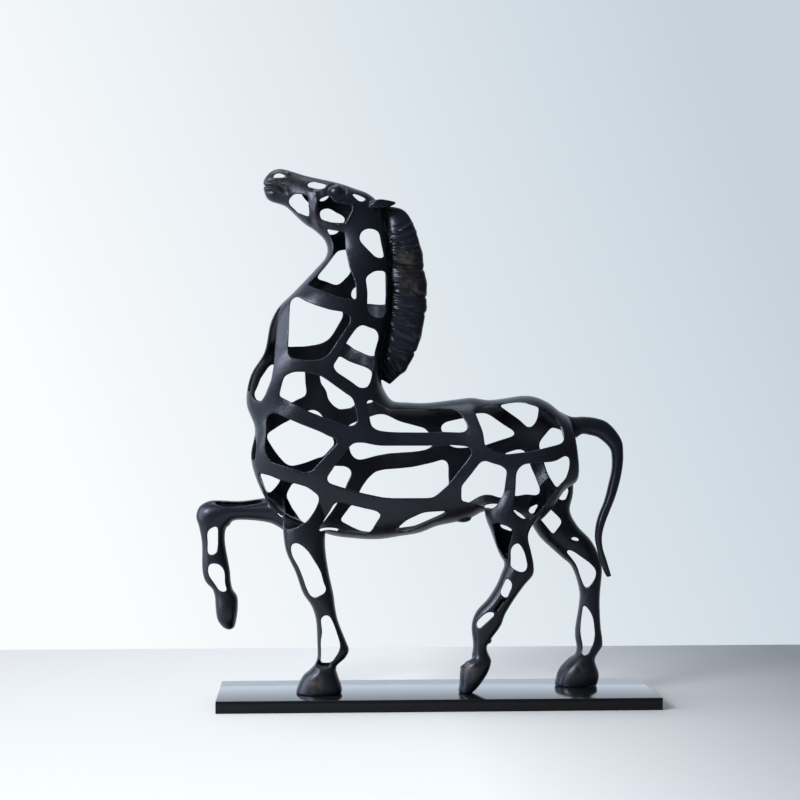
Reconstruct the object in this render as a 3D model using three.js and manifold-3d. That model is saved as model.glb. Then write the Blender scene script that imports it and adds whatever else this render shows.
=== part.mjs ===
// Openwork horse on a flat base plate.
// The horse is one hollow casting: a thin shell of trunk, neck, head and legs, pierced by rounded
// cells so that only a net of straps is left. Hooves, tail, mane and ears are solid.
import * as THREE from 'three';
import Module from 'manifold-3d';

// Driving dimensions, in millimetres
const baseLength = 360;
const baseDepth = 110;
const baseThickness = 10;
const baseBevel = 0.6;
const horseHeight = 433;
const wallThickness = 3.2;
const restingGap = 0.3;

// The horse is drawn 433 high, standing on a ground line at 10, and is scaled from that drawing.
const drawnHeight = 433;
const drawnGround = 10;
const figureScale = horseHeight / drawnHeight;

// The side elevation is drawn in perspective, as a viewer in front of the horse sees it.
// A drawn point at depth y is carried along the line of sight from this eye.
const eye = { x: -106, distance: 1488, z: 239 };

// Shell sections are super-ellipses of this power
const sectionPower = 2.25;
const bodySides = 14;
const limbSides = 8;
const hollowSides = 8;
const maneSides = 8;
const earSides = 5;
const tailSides = 6;

const blackCasting = new THREE.MeshStandardMaterial({ color: 0x1b1d22, roughness: 0.45, metalness: 0.6 });
const blackLacquer = new THREE.MeshStandardMaterial({ color: 0x0d0d10, roughness: 0.25, metalness: 0.1 });

const wasm = await Module();
wasm.setup();

// A drawn point (x, z) at depth y, in the drawing's millimetres
function sighted(x, z, y) {
  const reach = 1 + y / eye.distance;
  return [eye.x + (x - eye.x) * reach, y, eye.z + (z - eye.z) * reach];
}

// The same point on the real horse
function placed([x, y, z]) {
  return [
    x * figureScale,
    y * figureScale,
    baseThickness + (z - drawnGround) * figureScale,
  ];
}

// Triangles on corners become a solid, turned so that its faces point outwards
function solidFrom(corners, triangles) {
  const [a, b, c] = [new THREE.Vector3(), new THREE.Vector3(), new THREE.Vector3()];
  let volume = 0;
  for (const [i, j, k] of triangles) {
    volume += a.fromArray(corners[i]).dot(b.fromArray(corners[j]).cross(c.fromArray(corners[k])));
  }
  const facing = volume > 0 ? triangles : triangles.map(([i, j, k]) => [i, k, j]);
  return new wasm.Manifold(new wasm.Mesh({
    numProp: 3,
    vertProperties: new Float32Array(corners.flat()),
    triVerts: new Uint32Array(facing.flat()),
  }));
}

function superPower(value) {
  return Math.sign(value) * Math.abs(value) ** (2 / sectionPower);
}

// Rings of points around a row of sections become one closed tube
function tube(rings) {
  const sides = rings[0].length;
  const points = rings.flat();
  const triangles = [];
  for (let r = 0; r + 1 < rings.length; r += 1) {
    for (let s = 0; s < sides; s += 1) {
      const a = r * sides + s;
      const b = r * sides + (s + 1) % sides;
      triangles.push([a, b, a + sides], [b, b + sides, a + sides]);
    }
  }
  const last = (rings.length - 1) * sides;
  for (let s = 1; s + 1 < sides; s += 1) {
    triangles.push([0, s + 1, s], [last, last + s, last + s + 1]);
  }
  return solidFrom(points.map(placed), triangles);
}

// One section: drawn from point (ax, az) across to (bx, bz), at a depth, with a half width
function ring([ax, az, bx, bz, depth, halfWidth], sides, inset = 0) {
  const [x1, , z1] = sighted(ax, az, depth);
  const [x2, , z2] = sighted(bx, bz, depth);
  const halfSpan = Math.hypot(x1 - x2, z1 - z2) / 2;
  const shrink = (halfSpan - inset) / halfSpan;
  const points = [];
  for (let s = 0; s < sides; s += 1) {
    const angle = (2 * Math.PI * s) / sides;
    const along = superPower(Math.cos(angle)) * shrink;
    const across = superPower(Math.sin(angle)) * (halfWidth - inset);
    points.push([
      (x1 + x2) / 2 + along * (x1 - x2) / 2,
      depth + across,
      (z1 + z2) / 2 + along * (z1 - z2) / 2,
    ]);
  }
  return points;
}

function outerTube(sections, sides) {
  return tube(sections.map((section) => ring(section, sides)));
}

// The hollow follows the outside at the wall's thickness, through the numbered sections
function hollow(sections, numbers) {
  const wall = wallThickness / figureScale;
  return tube(numbers.map((number) => ring(sections[number], hollowSides, wall)));
}

// A cell is a drawn outline swept along the lines of sight between two depths
function cellCutter(outline, front, back) {
  const drawn = outline.map(([x, z]) => new THREE.Vector2(x, z));
  if (THREE.ShapeUtils.isClockWise(drawn)) drawn.reverse();
  const count = drawn.length;
  const points = [front, back].flatMap((y) => drawn.map((p) => sighted(p.x, p.y, y)));
  const triangles = [];
  for (const [a, b, c] of THREE.ShapeUtils.triangulateShape(drawn, [])) {
    triangles.push([a, b, c], [count + a, count + c, count + b]);
  }
  for (let i = 0; i < count; i += 1) {
    const next = (i + 1) % count;
    triangles.push([i, count + next, next], [i, count + i, count + next]);
  }
  return solidFrom(points.map(placed), triangles);
}

// Trunk, neck and head as one row of sections, from the rump round the chest and up to the lips:
// top line point, under line point, depth, half width
const bodySections = [
  [116.8, 212, 118.3, 195, 0, 9],
  [114.2, 225, 118.8, 187, 0, 20],
  [111, 235.5, 116.5, 181.5, 0, 28],
  [103.1, 241.6, 106.9, 174.7, 0, 34],
  [92, 249.8, 96.1, 159.2, 0, 38],
  [78, 254.4, 82, 148, 0, 40],
  [44, 250.8, 42, 158, 0, 38],
  [30, 252.7, 30, 153, 0, 36.5],
  [18, 251.4, 20.7, 150, 0, 35.5],
  [-8.1, 248.4, 0.1, 145.6, 0, 36],
  [-24.1, 248.8, -13.9, 140.2, 0, 37],
  [-36, 250.2, -30, 137.5, 0, 38],
  [-42.9, 258.9, -48, 135, 0, 39],
  [-45.9, 268.7, -68.2, 135.8, 0, 39],
  [-46.5, 280, -88.5, 138.9, 0, 39],
  [-44.5, 299, -132, 157, 0, 39],
  [-42.5, 307, -145.7, 177.1, 0, 39],
  [-41, 314, -153.5, 203, 0, 39],
  [-40, 321, -150.2, 226.7, 0, 39],
  [-39.5, 328, -157.2, 247.8, 0, 38.5],
  [-39.2, 335.5, -153.8, 271, 0, 37.5],
  [-39, 343, -142.5, 290.2, 0, 36],
  [-39, 353, -137.3, 314.8, 0, 33],
  [-39, 358.5, -131.1, 327.1, 0, 31],
  [-39, 364, -119.7, 338.6, 0, 29],
  [-39, 376, -101.8, 357.4, 0, 25],
  [-39.5, 388, -91.3, 370.1, 0, 22],
  [-46, 412, -92.3, 383, 0, 20],
  [-55.5, 421.9, -100.5, 391.4, 0, 21],
  [-67.7, 426.6, -108.6, 396.7, 0, 22],
  [-79.9, 430.7, -114.1, 401.5, 0, 21],
  [-108.7, 437.1, -125.2, 411.6, 0, 15],
  [-119.9, 440.5, -131.6, 413.9, 0, 13],
  [-129.6, 442.6, -136.9, 415.5, 0, 12],
  [-136, 441, -140.2, 417.9, 0, 11],
  [-140.8, 436.6, -142.2, 421.9, 0, 9.5],
  [-143.3, 432.4, -143.2, 425.2, 0, 6],
];
// The trunk's hollow passes through these sections, counted from the rump
const bodyHollow = [1, 3, 5, 7, 9, 10, 12, 14, 16, 18, 20, 21, 23, 25, 26, 27, 28, 30, 32, 33];

// Legs: front line point, back line point, depth, half width, from inside the trunk to the sole
const nearForeleg = [
  [-124, 180, -90, 176, -17, 14],
  [-127, 152, -91, 152, -18, 17],
  [-126.7, 139, -92, 136, -19, 16],
  [-124.4, 125, -91.5, 124, -19.5, 14.5],
  [-116.5, 107.5, -88.7, 106, -20, 13],
  [-110.2, 90, -85, 89, -20, 12.5],
  [-103.5, 80.1, -83.7, 79, -20, 12],
  [-99.8, 69, -81.5, 68, -20, 10.5],
  [-98.6, 50, -74.5, 50, -20, 10],
  [-98.4, 43, -72.2, 43, -20, 10.5],
  [-98.6, 37, -75.2, 36.8, -20, 10.5],
  [-101, 31, -81.7, 31, -20, 11],
  [-105, 26.7, -82.8, 27.5, -19.5, 12.5],
  [-110.2, 22.2, -81.3, 22, -19, 14],
  [-115.7, 10.5, -77.9, 10.5, -19, 14.5],
  [-115.9, 5, -79.5, 5, -19, 14],
];
const nearHindLeg = [
  [52, 196, 104, 192, -19, 16],
  [45, 172, 98, 168, -19.5, 18],
  [41.1, 156.1, 84, 151, -19.5, 18],
  [46.6, 140, 77.3, 138, -19.5, 17],
  [52.9, 123, 80.1, 123, -20, 14.5],
  [57.5, 114, 82, 113, -20, 13],
  [54.5, 105, 81.4, 105, -20, 12.5],
  [51.2, 97, 74.3, 96.5, -20, 12],
  [43.4, 84.8, 65.3, 84, -20, 11],
  [33.7, 74, 57.8, 71.5, -20, 10.5],
  [30.1, 64, 54.7, 63, -20, 10],
  [31.3, 46.5, 42.9, 46, -20, 9],
  [30.5, 39.5, 43.6, 40.4, -20, 9.3],
  [29.2, 36, 45.4, 36.6, -20, 10.2],
  [22.6, 31.2, 46.4, 32.6, -20, 11.6],
  [20.4, 25, 44, 24.6, -20, 12],
  [19.9, 14, 37.1, 14, -20, 11],
  [19, 8.5, 32.1, 8.5, -20, 9],
  [21.7, 5, 27, 5, -20, 7],
];
const farForeleg = [
  [-104, 178, -103, 146, 15, 14],
  [-128, 172.5, -121.5, 141, 17, 15],
  [-142, 169.6, -137.5, 148.7, 18, 13.5],
  [-165, 167, -162.9, 151.4, 18, 11.5],
  [-178.2, 167.6, -169, 150, 18, 11.5],
  [-188.1, 167.1, -171.1, 146.9, 18, 11.5],
  [-196, 162.5, -173.2, 145.4, 18, 11.5],
  [-198.7, 154.6, -174.5, 142.6, 18, 11],
  [-196.4, 146, -175, 137.8, 18, 10.5],
  [-194, 133, -174.5, 129.9, 18, 10],
  [-193.4, 108.5, -170.7, 109, 18, 10],
  [-190.8, 100.3, -170.1, 101, 18, 10],
  [-185.1, 94, -168.5, 94, 18, 10],
  [-183.2, 87.5, -164.8, 88.2, 18, 11],
  [-182.6, 79, -164.2, 79, 18, 11.8],
  [-181, 69, -165.4, 68.8, 18, 10.5],
  [-176.6, 62.8, -167.2, 62.6, 18, 6.5],
  [-173.2, 60.8, -169.8, 60.8, 18, 3],
];
const farHindLeg = [
  [76, 188, 115.5, 198, 17, 15],
  [74, 166, 115.1, 173, 18.5, 17],
  [80, 148, 112.4, 158.1, 19, 17],
  [87.3, 136.2, 119.1, 145.4, 19, 16],
  [96.7, 127.2, 130, 133.8, 19, 14.5],
  [105.4, 119.4, 136.5, 121.5, 19.5, 12.5],
  [113.6, 112, 139.3, 111, 19.5, 12],
  [120.6, 91, 137.8, 91, 19, 11],
  [120.2, 80, 137.4, 80, 18.5, 10.5],
  [117, 60, 138.4, 60, 18, 10],
  [117, 52, 139.6, 51.5, 18, 10],
  [118.1, 45, 139.5, 45, 18, 10],
  [117.1, 39, 135.8, 39.5, 18, 10.5],
  [111.7, 33.8, 133.2, 34, 18, 12.5],
  [105.8, 28, 134.8, 28, 18, 14],
  [102, 21.5, 136.6, 22, 18, 14.5],
  [99.9, 15, 135.6, 15, 18, 14.5],
  [100.7, 8, 132, 8, 18, 13.5],
];

// Each leg is hollow only where it leaves the trunk
const legs = [
  { sections: nearForeleg, hollowTo: 2 },
  { sections: nearHindLeg, hollowTo: 5 },
  { sections: farForeleg, hollowTo: 2 },
  { sections: farHindLeg, hollowTo: 3 },
];

const tailSections = [
  [102.8, 241.9, 109, 215, 0, 10],
  [114, 236.9, 117.6, 218.9, 0, 8.5],
  [124, 237, 122.9, 222.2, 0, 7.5],
  [134, 235.9, 129.7, 221.3, 0, 7],
  [144.3, 232.1, 136.4, 219.2, 0, 6.5],
  [156, 217.5, 146.3, 210, 0, 6],
  [157.5, 207, 147.8, 202.6, 0, 6],
  [157, 195.6, 147.6, 192.7, 0, 6],
  [154.5, 182.2, 144.8, 179.7, 0, 5.5],
  [150.5, 168.9, 141.3, 166.2, 0, 5.5],
  [145.9, 157.3, 137.1, 155.9, 0, 5],
  [141.9, 147, 134.5, 147, 0, 5],
  [139.5, 136, 133.5, 136, 0, 4.5],
  [140.3, 126.5, 135.2, 126.5, 0, 4.5],
  [143.3, 117.1, 138, 116, 0, 4.5],
  [145.9, 108.5, 141.3, 106.9, 0, 4],
  [147.5, 103.5, 143.8, 102.5, 0, 2],
];

// Mane: outer edge point, point inside the neck, depth, half width
const maneSections = [
  [-35, 411.6, -47, 411.2, 0, 5],
  [-28.4, 409.9, -45, 406.5, 0, 6.5],
  [-23.5, 406, -42, 402, 0, 6.5],
  [-17.5, 395, -41.5, 392, 0, 8],
  [-13.7, 383, -42.8, 379.8, 0, 9],
  [-10.6, 368, -40.5, 366, 0, 9.5],
  [-8.5, 353, -41.3, 352, 0, 10],
  [-7.3, 340, -40.1, 340, 0, 10],
  [-8, 327, -41, 327, 0, 10],
  [-9.8, 315, -43, 314, 0, 9.5],
  [-12.8, 302, -45.5, 301, 0, 9],
  [-16.7, 290, -47.5, 288, 0, 8.5],
  [-23.4, 278.5, -48.5, 278, 0, 7.5],
  [-32, 269.3, -47.5, 272, 0, 6],
  [-38.3, 263.7, -44, 267.1, 0, 3],
];
const lockCount = 19;
const ringsPerLock = 2;
const lockDepth = 0.14;

const earSections = [
  [-54.5, 416.2, -56, 408.8, 13, 4.5],
  [-48.5, 417.6, -49.5, 410.6, 14, 4.6],
  [-42, 417.6, -41, 411, 13, 3.5],
  [-33.5, 416, -33.5, 414, 12, 1.2],
];

const eyeBall = { x: -83.5, z: 424, depth: 15.5, length: 5.5, height: 6.5, bulge: 5 };

// Cells that run through both walls
const throughCells = {
  nostril: [
    [-134.6, 434.9], [-127, 435.3], [-124.2, 436.5], [-127.9, 438.5], [-131.8, 438.9], [-135.9, 435.7],
  ],
  noseBridge: [
    [-106.9, 428.6], [-96.1, 426.1], [-93.7, 426.5], [-90.4, 429.2], [-101.7, 432.2], [-105.2, 431.4],
    [-107.4, 429.7],
  ],
  temple: [
    [-69.6, 421.5], [-64.4, 416.6], [-62.1, 415.8], [-57.4, 417.7], [-65.4, 421.5], [-69, 422.6],
    [-70.7, 422.6],
  ],
  upperMane: [
    [-63.5, 384.1], [-50.4, 369.9], [-45.1, 368.9], [-42.9, 370], [-48.3, 391.5], [-55, 393.6],
    [-58.4, 393.1], [-62, 390.6], [-63.8, 386],
  ],
};

// Cells of the near wall
const nearCells = {
  cheek: [
    [-121.7, 413.8], [-116.8, 407.3], [-105.9, 403.1], [-106.6, 419.5], [-109.2, 422.1], [-118, 422],
    [-123, 415.5],
  ],
  jaw: [
    [-97.2, 416.6], [-99.5, 406], [-95, 400.8], [-87.1, 398.5], [-75.1, 398.3], [-68.4, 410],
    [-70, 413], [-83.9, 415.7], [-89.9, 421.2],
  ],
  throat: [
    [-91.1, 393.1], [-86.4, 385], [-84.7, 378], [-86.5, 371.5], [-99, 354], [-107, 346.5],
    [-81, 336.2], [-66.1, 334.3], [-66.8, 346.8], [-71.7, 359.7], [-75.3, 377], [-75.7, 390.4],
  ],
  lowerMane: [
    [-58.1, 350.5], [-57.1, 327], [-55, 322.5], [-50.5, 319.5], [-44.3, 319.2], [-41.6, 323.5],
    [-41.2, 355], [-42.6, 358.3], [-50.5, 358.2], [-57.1, 353.8],
  ],
  shoulder: [
    [-121.3, 287.4], [-120, 285.8], [-108, 283.6], [-96.3, 284.2], [-89.3, 288.8], [-71.3, 315.5],
    [-71.4, 321], [-77.7, 324.1], [-99.4, 329.2], [-115, 336.6], [-118.8, 335], [-121.2, 331],
    [-122.7, 295], [-122.7, 289],
  ],
  withers: [
    [-66.9, 309.3], [-85.5, 279], [-81.4, 273.3], [-63.4, 260.8], [-58.2, 260.9], [-54.4, 266.1],
    [-51.2, 290], [-47.4, 303.4], [-50.1, 309.4], [-60.9, 313.4],
  ],
  chestSlit: [
    [-126.8, 329.8], [-129.2, 327.1], [-131, 319.5], [-134.5, 280.9], [-136.7, 267.8], [-142.2, 254],
    [-145.7, 248.9], [-150.2, 250.2], [-157.7, 262.2], [-167.1, 267.8], [-164.3, 305], [-146.4, 332.6],
  ],
  upperChest: [
    [-128.5, 253.1], [-104.2, 240.6], [-73, 228.9], [-68, 229.7], [-65.1, 233.4], [-68.1, 249.5],
    [-70.3, 253.3], [-97, 271.4], [-116, 274.1], [-125.7, 270.4], [-130.2, 254],
  ],
  lowerChest: [
    [-140.8, 206.3], [-137, 199.4], [-109, 190.4], [-103.1, 191.9], [-81.5, 215.5], [-83.6, 218.5],
    [-96.4, 224.4], [-133.5, 240], [-137.5, 239.6], [-140.6, 235.5], [-141.8, 208],
  ],
  armpit: [
    [-147.3, 188.6], [-142, 173], [-138, 168.6], [-128, 162.9], [-125.4, 158], [-125.6, 143.4],
    [-118, 144.2], [-108.6, 148.7], [-99.5, 161.4], [-97.1, 167.5], [-98.7, 172.5], [-110, 179.6],
    [-130, 184.4], [-137.1, 187.7], [-148, 190.5],
  ],
  upperBarrel: [
    [-57.4, 245.5], [-53.8, 229.6], [-47.9, 225.4], [-31.9, 223.9], [20.4, 223.7], [24.3, 224.2],
    [26.8, 228], [20.1, 240.1], [14, 243.1], [-38, 242.9], [-55.5, 251.5], [-57.9, 247.6],
  ],
  middleBarrel: [
    [-83.7, 196.8], [-90.9, 185], [-88.6, 181.6], [-44, 169.7], [-5.9, 169.1], [-1.5, 169.9],
    [10.1, 179.7], [30.4, 206], [28.4, 211.5], [21.9, 212.6], [-45, 212.6], [-66, 215.2],
    [-71.3, 212.4],
  ],
  lowerBarrel: [
    [-84.1, 164.7], [-98.2, 141.8], [-90, 143.1], [-58, 139.7], [-53.7, 141.7], [-45.5, 154.9],
    [-50.2, 158.6], [-77, 165], [-82.5, 165.9],
  ],
  belly: [
    [-33.6, 140.8], [-22, 142], [8.9, 155.6], [8.8, 158.3], [-11.5, 156.5], [-25.2, 149.9],
    [-35.5, 140.6],
  ],
  flank: [
    [21.6, 176.8], [21.6, 166.7], [37, 163.2], [43.6, 159.2], [49.6, 161.2], [56.1, 170.9],
    [59.6, 192], [54.7, 196], [39.2, 199.6], [21.6, 178.8],
  ],
  croup: [
    [32.8, 241.1], [39.3, 224.9], [41.1, 213], [48.3, 207.8], [59.5, 205.4], [79.8, 207.8],
    [101.7, 213.2], [107.7, 217.1], [107, 225.8], [100.8, 236.2], [92, 243], [80, 247.6], [70, 248.8],
    [45, 246.8], [32.1, 242.8],
  ],
  buttock: [
    [67.4, 187.6], [64.7, 158.5], [77.5, 148.9], [88, 159.3], [109, 185], [112.2, 194.5], [112.1, 202],
    [108.7, 204.4], [100.2, 199.6], [73.6, 196.8], [70.3, 194.4],
  ],
  forearm: [
    [-120.2, 126], [-104.7, 88.8], [-101, 86.2], [-93.3, 89.8], [-91.1, 94.6], [-95.1, 105.9],
    [-105.9, 124.8], [-115.5, 132.2], [-119.4, 131.3],
  ],
  foreCannon: [
    [-95.6, 68], [-94.3, 58], [-96, 32.8], [-86.5, 33.1], [-80.5, 42.3], [-79.9, 49.6], [-87.8, 70.6],
    [-92.2, 72], [-95.4, 69.9],
  ],
  gaskin: [
    [62.5, 112.7], [69, 107.6], [73, 106.8], [75.9, 108.6], [76.8, 113], [74.7, 122.2], [71.4, 128.9],
    [68.2, 131.4], [62.8, 125.8],
  ],
  hock: [
    [58.8, 101.1], [53.9, 90.5], [56.1, 87.1], [60, 85.7], [64.1, 96.5], [59.5, 102.4],
  ],
  hindCannon: [
    [34.1, 63.2], [36.5, 59.9], [47.4, 69.6], [49.5, 73.2], [42.2, 73], [36.3, 67.8],
  ],
  breastUnder: [
    [-145.8, 176.5], [-125.2, 159.4], [-126.6, 154.9], [-138.1, 160.4], [-144.1, 166.7],
    [-147.5, 173.1],
  ],
  breastNotch: [
    [-150.1, 222.9], [-148.7, 212.6], [-150.1, 200.4], [-157.4, 199.5], [-160.2, 212.6], [-156, 223.6],
  ],
};

// Openings in the outer wall only of the near hind leg
const nearHindOuterCells = {
  stifle: [
    [47.9, 145.1], [51.8, 128.5], [60.4, 115.6], [60.9, 127], [64.8, 142.2], [52.1, 148.3],
    [47.5, 146.9],
  ],
  shank: [
    [51, 74.2], [57.2, 82.9], [60, 83.6], [58.9, 85.4], [55, 84.5], [50.5, 78.4], [48.5, 74.8],
  ],
};

// Slits that run through the near hind leg at its stifle
const nearHindSlit = [[52.6, 147.6], [60, 145.2], [65, 142], [63.4, 141.1], [55.8, 143.8]];

// Cells of the far wall
const farCells = {
  cheek: [
    [-123, 412.9], [-119, 406.5], [-104, 402], [-104.7, 411.9], [-112.6, 423.6], [-122, 420.5],
  ],
  jawCorner: [
    [-99.8, 416], [-92.4, 416.7], [-88.2, 421], [-92, 423.6], [-98.9, 421],
  ],
  jaw: [
    [-96.1, 403.2], [-89.3, 388], [-82.3, 389.2], [-75.4, 401.8], [-89.4, 410.3], [-96.2, 408.2],
  ],
  throat: [
    [-81.4, 374.7], [-98.4, 351.2], [-82.2, 346.2], [-71.5, 355.9], [-68.3, 361.1], [-69.5, 376],
  ],
  neckSliver: [
    [-65, 346], [-70.5, 339.1], [-69.6, 335.7], [-66, 333.7], [-61.1, 335.1], [-60.5, 344],
  ],
  lowerMane: [
    [-58, 331.1], [-40, 331], [-41, 360], [-51, 360], [-60, 353.5], [-60, 331],
  ],
  shoulder: [
    [-124.4, 295.7], [-100.1, 296.6], [-89, 301.2], [-78, 318.9], [-77.1, 323], [-79.2, 326.8],
    [-112, 339], [-120.5, 338], [-124, 330],
  ],
  withersTop: [
    [-76.4, 298.5], [-54.6, 287.3], [-46.2, 289.9], [-45.4, 303], [-50, 311.5], [-61, 317], [-68, 312],
  ],
  withersLow: [
    [-85, 277.3], [-81, 270.6], [-64, 259.6], [-56.5, 259.7], [-52.6, 264], [-53.5, 275.4],
    [-80.3, 287.5], [-85.9, 279],
  ],
  chestSlit: [
    [-150.3, 253.8], [-149, 250.3], [-143.5, 249.5], [-134, 274], [-134.1, 280.9], [-138.9, 278.2],
    [-145.6, 268.4], [-151, 255.6],
  ],
  chestTop: [
    [-129.8, 254], [-120, 248.2], [-109, 253.8], [-107.5, 257.3], [-108.9, 275.4], [-123, 275.4],
    [-129.5, 267], [-131.5, 255],
  ],
  scapula: [
    [-96.9, 272.8], [-95.4, 264.2], [-90.8, 257.7], [-89.7, 251.7], [-81.9, 243.8], [-71.4, 244],
    [-67.9, 247], [-51.1, 249.6], [-54.9, 253], [-64, 251.5],
  ],
  lowerChest: [
    [-140.3, 220.4], [-130.8, 204.5], [-125.4, 198.4], [-119.7, 195.9], [-93.5, 203.8], [-84.4, 214.1],
    [-94.7, 237.8], [-103.1, 242.7], [-127.2, 231.1], [-138.7, 223.6],
  ],
  armpitFront: [
    [-145.5, 188.6], [-141, 175.5], [-137.9, 173.4], [-128.9, 185.2], [-137, 189.7], [-146.5, 190.1],
  ],
  armpit: [
    [-124.2, 171], [-113.4, 152.1], [-108.7, 148], [-101, 147], [-93.4, 149.4], [-81, 167.1],
    [-86.9, 172.1], [-119.2, 182.1],
  ],
  armSlot: [
    [-132.2, 157.2], [-130.4, 159.6], [-125.2, 154.6], [-126.6, 153],
  ],
  barrelTop: [
    [-72.9, 227.6], [-73.5, 218], [-70.8, 206.4], [-64.8, 201.1], [-39.4, 206.4], [-9.8, 209],
    [-2.9, 212.4], [-1.4, 218], [-9.4, 227.3], [-28.9, 232.5], [-43.7, 238.9], [-67.2, 232.3],
    [-72.8, 229.6],
  ],
  barrelMiddle: [
    [-62.7, 172], [-38, 167], [-10, 166.5], [0, 168.5], [11.1, 180], [10.1, 198], [5, 200.9],
    [-18.5, 195], [-50.4, 191], [-60.8, 179.4], [-64.6, 172.5],
  ],
  elbow: [
    [-91.4, 184.2], [-88, 178.6], [-75.7, 176.3], [-70.2, 191.8], [-75.7, 195.7], [-86.4, 195.9],
    [-92.5, 186],
  ],
  lowerBarrel: [
    [-78.3, 149.9], [-62, 141.9], [-52, 140.8], [-42, 157], [-50, 162.5], [-66.1, 166.4], [-79.6, 151],
  ],
  bellyFront: [
    [-96.6, 141.6], [-78.6, 142.5], [-91.9, 144.6], [-96.4, 143.8], [-98.5, 141.4],
  ],
  belly: [
    [-31.7, 143.8], [-15.3, 147], [9.7, 159.6], [-3, 161.6], [-14, 159.5], [-27.9, 150.5],
  ],
  loin: [
    [4.8, 226], [11.2, 213.1], [17.7, 210.8], [29.7, 211.8], [27.5, 236.5], [9.3, 232.6], [4.9, 229.4],
  ],
  hip: [
    [32.7, 237.8], [38.4, 212.1], [63.3, 220.1], [66.6, 223], [43.2, 239.2], [32.3, 239.6],
  ],
  croup: [
    [54.5, 245.4], [77.7, 227.5], [84, 232.7], [86.9, 244.3], [70.7, 249.5],
  ],
  rump: [
    [86.8, 212], [93.3, 190.8], [101.5, 177.1], [111, 188.7], [113, 204], [106.7, 223], [105.2, 226.2],
    [96.6, 227.4], [88.6, 217.8],
  ],
  thigh: [
    [57.7, 203.1], [66, 182], [65.4, 170.5], [85.7, 171.3], [87.2, 177.1], [75.1, 207.5], [72, 209.4],
    [66.4, 208.9], [56.8, 205.3],
  ],
  flank: [
    [16.5, 181], [19, 166.5], [27, 164.8], [35.8, 170.1], [43.4, 172], [53.3, 169.3], [57.7, 169.2],
    [61.1, 178], [61.5, 188], [58, 195], [39, 202.6], [32, 199],
  ],
  groin: [
    [40.8, 161.8], [43.2, 156.8], [49, 156], [55.2, 158.9], [54.2, 163.7], [44.4, 163.8],
    [39.9, 162.6],
  ],
  stifleSlit: [
    [64.9, 158], [64.5, 154], [69.1, 149.1], [74.8, 147], [76, 150.9], [75.4, 152], [65.1, 159.9],
  ],
  buttockCorner: [
    [78.5, 159.6], [77.6, 158], [80.2, 155.5], [83.1, 157], [86, 164.1],
  ],
  buttockBack: [
    [103.8, 167.9], [109, 167.5], [110.6, 179], [102.5, 168.8],
  ],
  upperThigh: [
    [95, 160.5], [86.6, 152.8], [98.5, 138.3], [105.9, 148.5],
  ],
  thighLens: [
    [113.6, 134.1], [121.4, 133.2], [116.1, 136.3], [111.6, 134.2],
  ],
  gaskin: [
    [110.4, 122.8], [117.5, 113.8], [126.5, 93], [133.5, 101.2], [133.6, 109.9], [116.7, 123.4],
    [111.5, 125.7], [109, 124.2],
  ],
  hindCannon: [
    [123.6, 78.1], [121.3, 58], [122.8, 37], [127.4, 37.4], [133.5, 55], [131, 70.7], [125.1, 79.1],
    [123.6, 79.7],
  ],
  foreCannonTop: [
    [-189.6, 140], [-189.3, 126.1], [-188.1, 122.1], [-185.9, 122.2], [-181.6, 124.7], [-180.8, 145.1],
    [-181.6, 146.5], [-186.4, 144.7],
  ],
  foreCannonLow: [
    [-188.9, 110.1], [-187.4, 104.1], [-179.6, 92.7], [-174, 91.8], [-176.5, 111.3], [-180.2, 114.9],
    [-185.7, 115.4],
  ],
};

// A groove along the top of the lifted arm opens its outer wall only
const armGroove = [[-178, 163.6], [-168, 162.7], [-150, 164.6], [-144, 166], [-150, 167], [-170, 165]];

const bodyReach = 75;
const centreGap = 0.5;
const nearHindCentre = -20;
const grooveFloor = 13;

function joined(solids) {
  return solids.reduce((whole, solid) => whole.add(solid));
}

function mirrored(sections) {
  return sections.map(([ax, az, bx, bz, depth, halfWidth]) => [ax, az, bx, bz, -depth, halfWidth]);
}

// The mane is pleated into thick locks: each swells between two shallow grooves
function maneSolid() {
  const outerPoints = maneSections.map(([ax, az, , , , w]) => new THREE.Vector3(ax, w, az));
  const innerPoints = maneSections.map(([, , bx, bz]) => new THREE.Vector3(bx, 0, bz));
  const outerLine = new THREE.CatmullRomCurve3(outerPoints);
  const innerLine = new THREE.CatmullRomCurve3(innerPoints);
  const count = lockCount * ringsPerLock;
  const rings = [];
  for (let i = 0; i <= count; i += 1) {
    const outer = outerLine.getPoint(i / count);
    const inner = innerLine.getPoint(i / count);
    const swell = 1 - lockDepth * (0.5 + 0.5 * Math.cos((2 * Math.PI * i) / ringsPerLock));
    const edge = outer.clone().lerp(inner, (1 - swell) * 0.3);
    rings.push(ring([edge.x, edge.z, inner.x, inner.z, 0, outer.y * swell], maneSides));
  }
  return tube(rings);
}

function eyeSolid(side) {
  const { x, z, depth, length, height, bulge } = eyeBall;
  const rows = 3;
  const rings = [];
  for (let i = 0; i <= rows; i += 1) {
    const angle = Math.PI * (0.06 + 0.88 * (i / rows));
    const [cx, cy, cz] = sighted(x, z, side * depth - bulge * Math.cos(angle));
    rings.push([...Array(limbSides).keys()].map((s) => {
      const turn = (2 * Math.PI * s) / limbSides;
      return [
        cx + length * Math.sin(angle) * Math.sin(turn),
        cy,
        cz + height * Math.sin(angle) * Math.cos(turn),
      ];
    }));
  }
  return tube(rings);
}

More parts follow.
